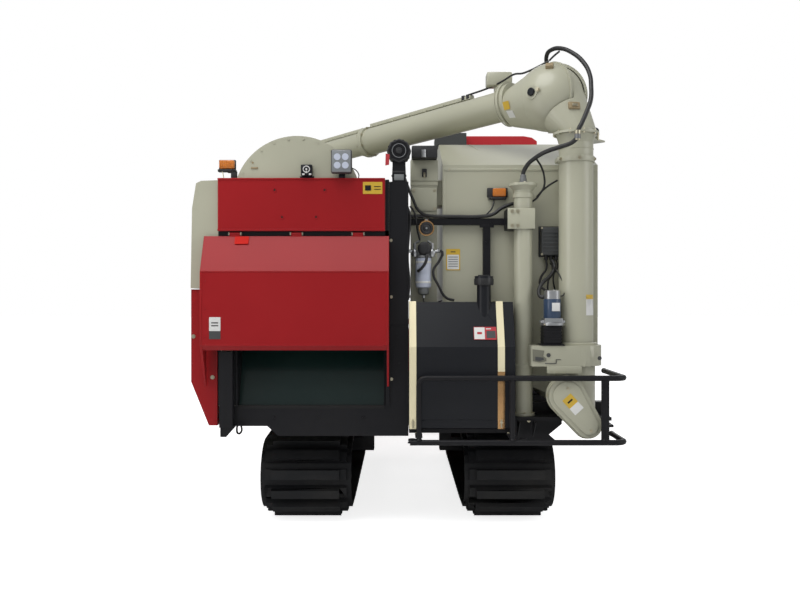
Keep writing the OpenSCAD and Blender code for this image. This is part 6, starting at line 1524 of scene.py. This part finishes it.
class COMBINE_OT_wheel_trim(bpy.types.Operator):
    """Seal caps of the rollers and idlers"""
    bl_idname = "combine.wheel_trim"
    bl_label = "Running gear trim"

    def execute(self, context):
        bm = bmesh.new()
        rollers, idler = [(0.1144, -1.56 + k * 0.316, 0.13, 0.026, 0.016)
                          for k in range(7)], (0.0844, -1.88, 0.217, 0.03, 0.018)
        for middle in (-TRACK_X, TRACK_X):
            for reach, y, z, wide, narrow in [*rollers, idler]:
                for s in (-1, 1):
                    cap = [(wide, -0.001), (wide, 0.004), (narrow, 0.008), (0.0, 0.008)]
                    lathe(bm, (middle + s * reach, y, z), X * s, cap, 0, 20)
        keep("roller_caps", bm, ["cast metal"])
        return {"FINISHED"}


class COMBINE_OT_radiator(bpy.types.Operator):
    """Core behind the screened door, the screen's latch and the engine cover's bolts"""
    bl_idname = "combine.radiator"
    bl_label = "Radiator"

    def execute(self, context):
        bm = bmesh.new()
        block(bm, (1.06, -0.79, 0.74), (1.11, -0.2, 1.18), 0, 0.004)
        for z in (0.735, 1.165):
            block(bm, (1.05, -0.8, z), (1.12, -0.19, z + 0.028), 1, 0.006)
        for k in range(36):
            y = -0.78 + k * 0.0164
            block(bm, (1.1095, y, 0.765), (1.1135, y + 0.005, 1.163), 1)
        for k in range(9):
            block(bm, (1.1095, -0.785, 0.8 + k * 0.042), (1.1125, -0.205, 0.803 + k * 0.042), 1)
        rod(bm, (1.086, -0.3, 1.19), (1.086, -0.3, 1.212), 0.03, 2, 28)
        rod(bm, (1.086, -0.3, 1.212), (1.086, -0.3, 1.218), 0.034, 1, 28)
        keep("radiator_core", bm, ["dull plastic", "black paint", "zinc"])
        bm = bmesh.new()
        x = 1.1685
        bolts(bm, [(x, y, z) for y in (-0.862, -0.138) for z in (0.74, 0.955, 1.17)], X, 0.006, 0.005, 1)
        block(bm, (x - 0.001, -0.868, 0.93), (x + 0.01, -0.838, 0.98), 0, 0.004)
        rod(bm, (x + 0.009, -0.853, 0.955), (x + 0.014, -0.853, 0.955), 0.009, 1, 16)
        keep("screen_latch", bm, ["black paint", "zinc"], "screen_door")
        bm = bmesh.new()
        bolts(bm, [(1.1305, y, 1.262) for y in (-0.75, -0.25)], X, 0.007)
        bolts(bm, [(x, -0.8805, z) for x in (0.26, 0.6, 0.94) for z in (1.24, 0.76)], -Y, 0.007)
        keep("engine_cover_bolts", bm, ["zinc"])
        return {"FINISHED"}


class COMBINE_OT_side_trim(bpy.types.Operator):
    """Latches, pressed lines and screws of the left doors and cover"""
    bl_idname = "combine.side_trim"
    bl_label = "Side cover trim"

    def execute(self, context):
        for end in ("rear", "front"):
            low, high = node_box("side_door_" + end)
            bm = bmesh.new()
            y = low.y + 0.07
            block(bm, (low.x - 0.01, y - 0.03, 1.13), (low.x + 0.001, y + 0.03, 1.21), 0, 0.006)
            block(bm, (low.x - 0.013, y - 0.018, 1.142), (low.x - 0.008, y + 0.018, 1.198), 1, 0.004)
            block(bm, (low.x - 0.003, low.y + 0.2, 0.885), (low.x + 0.0005, high.y - 0.2, 0.897), 2, 0.002)
            for share in (0.2, 0.5, 0.8):
                y = low.y + (high.y - low.y) * share
                rod(bm, (low.x + 0.001, y, 1.285), (low.x - 0.003, y, 1.285), 0.01, 3, 16)
            keep(end + "_door_latch", bm, ["dull plastic", "tank plastic", "red paint", "zinc"], end + "_side_door")
        low, high = node_box("side_cover")
        bm = bmesh.new()
        for y in (-2.05, -1.45, -0.85, -0.25):
            rod(bm, (low.x + 0.002, y, 1.36), (low.x - 0.002, y, 1.36), 0.009, 1, 16)
        block(bm, (low.x - 0.002, -2.2, 1.42), (low.x + 0.001, -0.05, 1.43), 0, 0.001)
        keep("side_cover_trim", bm, ["beige paint", "zinc"])
        return {"FINISHED"}


class COMBINE_OT_rail_trim(bpy.types.Operator):
    """Flat stay and feet of the guard rail, and the mud plate behind the right track"""
    bl_idname = "combine.rail_trim"
    bl_label = "Rail stay and mud plate"

    def execute(self, context):
        bm = bmesh.new()
        block(bm, (1.078, -2.497, 0.505), (1.124, -2.489, 0.85), 0, 0.003)
        bolts(bm, [(1.101, -2.497, z) for z in (0.53, 0.82)], -Y, 0.007)
        for x in (0.02, 0.645):
            rod(bm, (x, -2.474, 0.506), (x, -2.474, 0.52), 0.022)
        keep("guard_rail_stay", bm, ["black paint"])
        bm = bmesh.new()
        outline = [(0.612, 0.446), (0.985, 0.446), (0.872, 0.47), (0.829, 0.508), (0.905, 0.57), (0.905, 0.611),
                   (0.612, 0.611)]
        plate(bm, outline, -0.003, (0, -2.245, 0), X, Z)
        keep("mud_plate", bm, ["black paint"])
        return {"FINISHED"}


CLASSES = [
    CombineTones, CombineStage, COMBINE_OT_paint, COMBINE_OT_stage, COMBINE_OT_hoses,
    COMBINE_OT_rear_sheets, COMBINE_OT_hood_trim, COMBINE_OT_drum_trim, COMBINE_OT_lamps,
    COMBINE_OT_outlet_trim, COMBINE_OT_fuel_side, COMBINE_OT_fuel_filter, COMBINE_OT_column_trim,
    COMBINE_OT_slew_drive, COMBINE_OT_belt_guard_trim, COMBINE_OT_auger_trim, COMBINE_OT_tank_trim,
    COMBINE_OT_elevator_trim, COMBINE_OT_intake_trim, COMBINE_OT_guard_trim, COMBINE_OT_tube_leads,
    COMBINE_OT_seat, COMBINE_OT_cabin_trim, COMBINE_OT_floor_trim, COMBINE_OT_knife_trim,
    COMBINE_OT_reel_trim, COMBINE_OT_header_trim, COMBINE_OT_wheel_trim, COMBINE_OT_radiator,
    COMBINE_OT_side_trim, COMBINE_OT_rail_trim,
]
STEPS = [
    "paint", "stage", "hoses", "rear_sheets", "hood_trim", "drum_trim", "lamps", "outlet_trim",
    "fuel_side", "fuel_filter", "column_trim", "slew_drive", "belt_guard_trim", "auger_trim", "tank_trim",
    "elevator_trim", "intake_trim", "guard_trim", "tube_leads", "seat", "cabin_trim", "floor_trim",
    "knife_trim", "reel_trim", "header_trim", "wheel_trim", "radiator", "side_trim", "rail_trim",
]


class COMBINE_PT_panel(bpy.types.Panel):
    """Lists the steps that dress the combine"""
    bl_idname = "COMBINE_PT_panel"
    bl_label = "Rice combine finish"
    bl_space_type = "VIEW_3D"
    bl_region_type = "UI"
    bl_category = "Combine"

    def draw(self, context):
        scene = context.scene
        for settings in (scene.combine_tones, scene.combine_stage):
            for key in settings.bl_rna.properties.keys():
                if key not in ("rna_type", "name"):
                    self.layout.prop(settings, key)
        for name in STEPS:
            self.layout.operator("combine." + name)


def register():
    for cls in [*CLASSES, COMBINE_PT_panel]:
        bpy.utils.register_class(cls)
    bpy.types.Scene.combine_tones = bpy.props.PointerProperty(type=CombineTones)
    bpy.types.Scene.combine_stage = bpy.props.PointerProperty(type=CombineStage)


def unregister():
    del bpy.types.Scene.combine_stage
    del bpy.types.Scene.combine_tones
    for cls in reversed([*CLASSES, COMBINE_PT_panel]):
        bpy.utils.unregister_class(cls)


def main():
    GROUPS.update(make_groups())
    register()
    for name in STEPS:
        getattr(bpy.ops.combine, name)()


if __name__ == "__main__":
    main()
